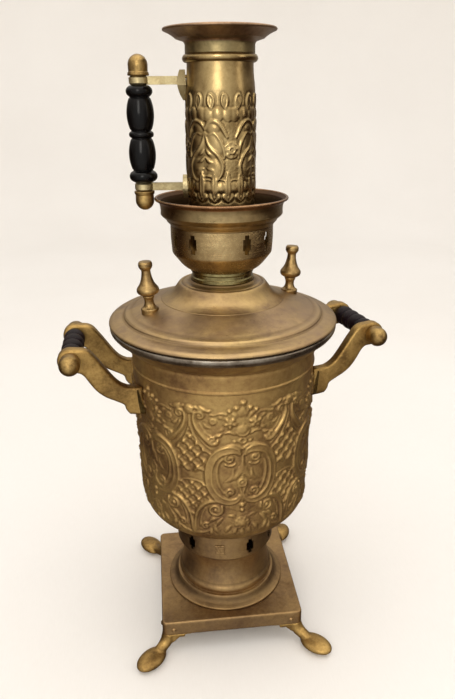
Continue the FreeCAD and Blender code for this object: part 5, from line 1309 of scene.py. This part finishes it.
def ball(cx, cy, cz, rx, ry, rz, yaw, n=24):
    vs, fs = lathe_mesh([(math.cos(a), math.sin(a)) if abs(a) < PI / 2 - 1e-6 else (0.0, math.copysign(1.0, a)) for a in np.linspace(-PI / 2, PI / 2, n)], 2 * n)
    c, s = math.cos(yaw), math.sin(yaw)
    v = vs * np.array([rx, ry, rz])
    return np.stack([v[:, 0] * c - v[:, 1] * s + cx, v[:, 0] * s + v[:, 1] * c + cy, v[:, 2] + cz], 1), [q_[::-1] for q_ in fs]


def tube(path, n=24):
    """Tube along (x, y, z, half width, half height) points that lie in one upright plane."""
    P = smooth_line_nd(path, 1.5)
    k_ = len(P)
    vs = []
    for i in range(k_):
        a, c = P[max(i - 1, 0), :3], P[min(i + 1, k_ - 1), :3]
        t = (c - a) / np.linalg.norm(c - a)
        hd = P[-1, :3] - P[0, :3]
        side = np.cross([0, 0, 1], [hd[0], hd[1], 0.0])
        side /= np.linalg.norm(side)
        up_ = np.cross(t, side)
        for j in range(n):
            q_ = 2 * PI * j / n
            vs.append(P[i, :3] + side * math.cos(q_) * P[i, 3] + up_ * math.sin(q_) * P[i, 4])
    fs = []
    for i in range(k_ - 1):
        for j in range(n):
            a, c = i * n + j, i * n + (j + 1) % n
            fs.append((a, c, c + n, a + n))
    fs.append(tuple(range(n - 1, -1, -1)))
    fs.append(tuple((k_ - 1) * n + j for j in range(n)))
    return np.array(vs), fs


def smooth_line_nd(pts, step):
    q_ = np.asarray(pts, float)
    z = np.vstack([2 * q_[0] - q_[1], q_, 2 * q_[-1] - q_[-2]])
    out = []
    for i in range(1, len(z) - 2):
        a, b_, c, d = z[i - 1], z[i], z[i + 1], z[i + 2]
        k_ = max(2, int(np.linalg.norm(c[:3] - b_[:3]) / step))
        t = (np.arange(k_) / k_)[:, None]
        out.append(0.5 * (2 * b_ + (c - a) * t + (2 * a - 5 * b_ + 4 * c - d) * t ** 2 + (3 * b_ - a - 3 * c + d) * t ** 3))
    out.append(z[-2][None, :])
    return np.concatenate(out)


def box(x0, x1, y0, y1, z0, z1):
    v = np.array([(x, y, z) for x in (x0, x1) for y in (y0, y1) for z in (z0, z1)], float)
    return v, [(0, 1, 3, 2), (4, 6, 7, 5), (0, 4, 5, 1), (2, 3, 7, 6), (0, 2, 6, 4), (1, 5, 7, 3)]


def prism(poly, y0, y1):
    n = len(poly)
    v = [(x, y0, z) for x, z in poly] + [(x, y1, z) for x, z in poly]
    f = [tuple(range(n)), tuple(range(2 * n - 1, n - 1, -1))] + [(i, i + n, (i + 1) % n + n, (i + 1) % n) for i in range(n)]
    return np.array(v, float), f


WING = smooth_line([(43.0, 21.3), (49.0, 20.6), (54.5, 18.6), (58.5, 15.4), (61.5, 12.2), (65.0, 10.2), (70.0, 9.5)], 1.0)[:, :2]
WPOLY = [tuple(q_) for q_ in WING] + [(70.0, 21.3)]
for nm, k_, tx, ty in (("rear_right", 0, 83.0, 99.0), ("rear_left", 1, 94.0, 85.5), ("front_left", 2, 85.6, 84.6), ("front_right", 3, 85.0, 86.2)):
    px = py = 94.5 * math.sqrt(0.5)
    reach = math.hypot(tx - px, ty - py)
    dx, dy = (tx - px) / reach, (ty - py) / reach
    yaw = math.atan2(dy, dx)

    def along(s, z, w, h):
        return (px + dx * s, py + dy * s, z, w, h)

    leg = tube([along(0.2, 21.0, 7.0, 6.6), along(1.4, 16.6, 6.9, 6.6), along(5.0, 11.4, 6.4, 6.3), along(10.5, 8.4, 5.7, 5.6), along(16.0, 6.7, 5.4, 4.9),
                along(reach - 10.0, 5.2, 6.4, 4.6), along(reach - 2.0, 4.4, 8.6, 4.6)])
    parts = [leg, ball(tx + 0.2 * dx, ty + 0.2 * dy, 4.0, 17.9, 11.6, 6.0, yaw), ball(90.5 * math.sqrt(0.5), 90.5 * math.sqrt(0.5), 17.2, 10.4, 8.6, 4.1, PI / 4),
             box(50.2, 70.0, 50.2, 70.0, 14.2, 33.4)]
    wv, wf = prism(WPOLY, 68.7, 73.1)
    parts.append((wv, wf))
    parts.append((np.stack([wv[:, 1], wv[:, 0], wv[:, 2]], 1), [q_[::-1] for q_ in wf]))
    rot = np.array(about(90 * k_))
    parts = [(v @ rot[:3, :3].T, f) for v, f in parts]
    remeshed("foot_%s_cast" % nm, parts, 0.85, 5, M_CAST, "stand", "cast_brass", "foot_" + nm, floor=0.0)

# ------------------------------------------------------------------- plinth

def square_ring(half, corner, ang):
    """Rounded square, sampled at the given polar angles."""
    out = []
    for a in ang:
        c, s = abs(math.cos(a)), abs(math.sin(a))
        r = half / max(c, s)
        x, y = r * c, r * s
        k2 = half - corner
        if x > k2 and y > k2:
            # meet the corner circle
            bq = -(c + s) * k2
            cq = 2 * k2 * k2 - corner * corner
            r = -bq + math.sqrt(max(bq * bq - cq, 0.0))
        out.append(r)
    return np.array(out)


fine_ang = []
for q_ in range(4):
    base_a = q_ * PI / 2
    fine_ang += [base_a + t for t in np.linspace(-PI / 4, PI / 4, 73)[:-1] if True]
fine_ang = np.array(fine_ang)
# closer together round each corner
extra = []
for q_ in range(4):
    c0 = PI / 4 + q_ * PI / 2
    extra += [c0 + t for t in np.linspace(-0.05, 0.05, 25)]
ANG = np.unique(np.round(np.mod(np.concatenate([fine_ang, extra]), 2 * PI), 6))
H0, BT, BL = 73.3, 37.7, 21.5
rings = []


def sq(half, corner, z):
    rings.append((square_ring(half, corner, ANG), np.full(len(ANG), float(z))))


sq(70.3, 2.6, 34.7)
sq(70.3, 2.6, 22.0)
sq(70.6, 2.8, 21.6)
sq(71.0, 3.0, 21.5)
sq(72.6, 4.4, 21.5)
sq(73.1, 4.8, 21.7)
sq(73.3, 5.0, 22.2)
sq(73.3, 5.0, 23.4)
for z in np.linspace(25.5, 34.0, 5):
    sq(73.3, 5.0, z)
sq(73.3, 5.0, 35.6)
sq(73.15, 4.9, 36.4)
sq(72.8, 4.7, 37.1)
sq(72.3, 4.4, 37.5)
sq(71.6, 4.0, 37.68)
sq(70.4, 3.6, 37.7)
for t in np.linspace(0.1, 0.9, 9):
    a_ = square_ring(70.4, 3.6, ANG) * (1 - t) + 50.0 * t
    dip = 0.25 * math.sin(PI * t)
    rings.append((a_, np.full(len(ANG), 37.7 - dip * 0.6)))
rings.append((np.full(len(ANG), 50.0), np.full(len(ANG), 37.7)))
rings.append((np.full(len(ANG), 48.4), np.full(len(ANG), 37.65)))
rings.append((np.full(len(ANG), 48.0), np.full(len(ANG), 37.3)))
rings.append((np.full(len(ANG), 48.0), np.full(len(ANG), 34.9)))
rings.append((np.full(len(ANG), 48.3), np.full(len(ANG), 34.7)))
n_ = len(ANG)
vv = []
for rr, zz in rings:
    uneven = 0.10 * np.sin(ANG * 5 + 1.0) * (rr > 60)
    x, y = rr * np.cos(ANG), rr * np.sin(ANG)
    vv.append(np.stack([x, y, zz + np.where((zz > 37.0), -0.05 + 0.05 * np.sin(x * 0.11 + 1) * np.sin(y * 0.13), 0.0)], 1))
idx = np.arange(len(rings) * n_).reshape(len(rings), n_)
nx_ = np.roll(idx, -1, 1)
F3 = np.stack([idx, nx_, np.roll(nx_, -1, 0), np.roll(idx, -1, 0)], -1).reshape(-1, 4)
put("base_plate_cast", np.concatenate(vv), F3, M_BASE, "stand", "base_brass", ["base_plate"])

# ------------------------------------------------- patch over the ring's seam

PW, PH = 37, 41
pa = np.radians(np.linspace(-5.5, 5.5, PW)) - math.radians(101.8)
pz = np.linspace(101.55, 112.45, PH)
pv, pf = [], []
for i, zz in enumerate(pz):
    for j, aa in enumerate(pa):
        u_, w_ = (j / (PW - 1) - 0.5) * 9.9, zz - 107.0
        d_ = min(abs(abs(u_) - 3.7) if abs(w_) < 3.2 else 9.0, abs(abs(w_) - 3.2) if abs(u_) < 3.7 else 9.0, abs(u_) if abs(w_) > 3.2 else 9.0)
        r_ = 52.72 - 0.30 * math.exp(-(d_ / 0.30) ** 2) + 0.06 * math.sin(u_ * 2.1 + w_) - 0.5 * max(0.0, (abs(u_) - 4.6) / 0.4) ** 2 - 0.5 * max(0.0, (abs(w_) - 5.0) / 0.45) ** 2
        pv.append((r_ * math.cos(aa), r_ * math.sin(aa), zz))
n_front = len(pv)
for i, zz in enumerate(pz):
    for j, aa in enumerate(pa):
        pv.append((51.92 * math.cos(aa), 51.92 * math.sin(aa), zz))
for i in range(PH - 1):
    for j in range(PW - 1):
        a, c = i * PW + j, (i + 1) * PW + j
        pf.append((a, a + 1, c + 1, c))
        pf.append((n_front + a, n_front + c, n_front + c + 1, n_front + a + 1))
rim = [j for j in range(PW)] + [i * PW + PW - 1 for i in range(1, PH)] + [(PH - 1) * PW + j for j in range(PW - 2, -1, -1)] + [i * PW for i in range(PH - 2, 0, -1)]
for i in range(len(rim)):
    a, c = rim[i], rim[(i + 1) % len(rim)]
    pf.append((c, a, a + n_front, c + n_front))
put("vent_seam_patch_chased", pv, pf, M_STAND, "stand", "body_brass", ["vent_seam_patch"])

# --------------------------------------------------- carried-over CAD nodes

LOOK = {
    "foot_rivets": M_BASE, "ash_floor": M_BASE, "vent_ring": M_STAND, "bracket_rivets": M_FAST, "fire_tube": M_SOOT, "grate": M_IRON,
    "handle_rod_left": M_STEEL, "handle_rod_right": M_STEEL, "tap_rosette": M_TAP, "tap_body": M_TAP, "tap_key": M_TAP, "tap_plug_nut": M_FAST,
    "tap_washer": M_LEATHER, "tap_back_nut": M_TAP, "lid_locating_ring": M_LID, "lid_knob_nuts": M_FAST, "crown_drum": M_CROWN,
    "pipe_plate_upper": M_ARM, "pipe_plate_lower": M_ARM, "pipe_rivets": M_FAST, "pipe_arm_upper": M_ARM, "pipe_arm_lower": M_ARM, "pipe_rod": M_STEEL}
for nm, ob in NODES.items():
    mat = LOOK.get(nm)
    if mat is not None:
        if not ob.material_slots:
            ob.data.materials.append(mat)
        for s in ob.material_slots:
            s.material = mat

# --------------------------------------------------------- stage and lights

def bowl(name, rows, fan):
    """Part of the backdrop: a surface of revolution about Z, seen from inside; rows are (r, z) in metres."""
    seg_ = 128
    an = np.arange(seg_) * 2 * PI / seg_
    vs_, fs_ = [], []
    if fan:
        vs_.append((0.0, 0.0, rows[0][1]))
    for r, z in rows:
        vs_ += [(r * math.cos(a), r * math.sin(a), z) for a in an]
    o_ = 1 if fan else 0
    if fan:
        fs_ += [(0, 1 + j, 1 + (j + 1) % seg_) for j in range(seg_)]
    for i in range(len(rows) - 1):
        for j in range(seg_):
            a, c = o_ + i * seg_ + j, o_ + i * seg_ + (j + 1) % seg_
            fs_.append((a, a + seg_, c + seg_, c))
    return put(name, np.array(vs_) / MM, fs_, M_CLOTH, None, None)


FLOOR_Z = -0.002
floor_ob = bowl("stage_floor", [(r, FLOOR_Z) for r in (0.4, 0.8, 1.2, 1.6, 2.0)], True)
floor_ob.visible_glossy = False
sweep = [(2.0 + 1.1 * math.sin(a), FLOOR_Z + 1.1 * (1 - math.cos(a))) for a in np.linspace(0, PI / 2, 25)]
wall_ob = bowl("stage_wall", sweep + [(3.1, 2.0), (3.1, 3.4)], False)
wall_ob.visible_glossy = False

world = bpy.data.worlds.new("world")
bpy.context.scene.world = world
world.use_nodes = True
wt = world.node_tree
bg = wt.nodes["Background"]
lp = wt.nodes.new("ShaderNodeLightPath")
wc = wt.nodes.new("ShaderNodeTexCoord")
wsep = wt.nodes.new("ShaderNodeSeparateXYZ")
wt.links.new(wc.outputs["Generated"], wsep.inputs[0])


def w_ramp(fac, stops):
    x = wt.nodes.new("ShaderNodeValToRGB")
    e_ = x.color_ramp.elements
    while len(e_) > 1:
        e_.remove(e_[-1])
    for i, (pos, c) in enumerate(stops):
        q_ = e_[0] if i == 0 else e_.new(pos)
        q_.position = pos
        q_.color = tuple(c) + (1.0,)
    wt.links.new(fac, x.inputs[0])
    return x.outputs[0]


def w_half(sock):
    x = wt.nodes.new("ShaderNodeMath")
    x.operation = "MULTIPLY_ADD"
    wt.links.new(sock, x.inputs[0])
    x.inputs[1].default_value = 0.5
    x.inputs[2].default_value = 0.5
    return x.outputs[0]


# what the metal mirrors: a bright room side in front, dark brown sides, a pale ceiling
dotp = wt.nodes.new("ShaderNodeVectorMath")
dotp.operation = "DOT_PRODUCT"
wt.links.new(wc.outputs["Generated"], dotp.inputs[0])
dotp.inputs[1].default_value = (math.cos(math.radians(-103.0)), math.sin(math.radians(-103.0)), 0.0)
around = w_ramp(w_half(dotp.outputs["Value"]), [
    (0.0, (0.34, 0.31, 0.27)), (0.12, (0.17, 0.13, 0.10)), (0.28, (0.036, 0.016, 0.008)), (0.54, (0.045, 0.021, 0.011)), (0.72, (0.28, 0.22, 0.17)), (0.88, (0.84, 0.80, 0.74)), (1.0, (1.10, 1.08, 1.04))])
height = w_ramp(w_half(wsep.outputs[2]), [(0.50, (0.0, 0.0, 0.0)), (0.66, (0.24, 0.24, 0.24)), (0.90, (1.0, 1.0, 1.0))])
wa = wt.nodes.new("ShaderNodeMix")
wa.data_type = "RGBA"
wt.links.new(height, wa.inputs[0])
wt.links.new(around, wa.inputs[6])
wa.inputs[7].default_value = (1.55, 1.47, 1.34, 1.0)
wm = wt.nodes.new("ShaderNodeMix")
wm.data_type = "RGBA"
wt.links.new(lp.outputs["Is Glossy Ray"], wm.inputs[0])
wm.inputs[6].default_value = (1.16, 1.14, 1.12, 1.0)
wt.links.new(wa.outputs[2], wm.inputs[7])
wt.links.new(wm.outputs[2], bg.inputs[0])
bg.inputs[1].default_value = 1.0
bpy.context.scene.view_settings.view_transform = "Standard"


def lamp(name, loc, look, sx, sy, power, colour):
    d = bpy.data.lights.new(name, "AREA")
    d.shape = "RECTANGLE"
    d.size, d.size_y = sx, sy
    d.energy = power
    d.color = colour
    o = bpy.data.objects.new(name, d)
    bpy.context.scene.collection.objects.link(o)
    o.location = loc
    o.rotation_euler = (Vector(look) - Vector(loc)).to_track_quat("-Z", "Y").to_euler()
    return o


# a tall window to the left of the camera, a weaker one to the right, and a soft ceiling
lamp("window", (-0.42, -1.60, 1.10), (0, 0, 0.35), 0.45, 1.10, 9.0, (1.0, 0.965, 0.90))
lamp("right", (1.50, -0.75, 0.80), (0, 0, 0.30), 0.45, 1.00, 2.5, (1.0, 0.94, 0.85))
lamp("ceiling", (0.05, -0.10, 2.30), (0, 0, 0.0), 1.9, 1.6, 9.0, (1.0, 0.975, 0.94))
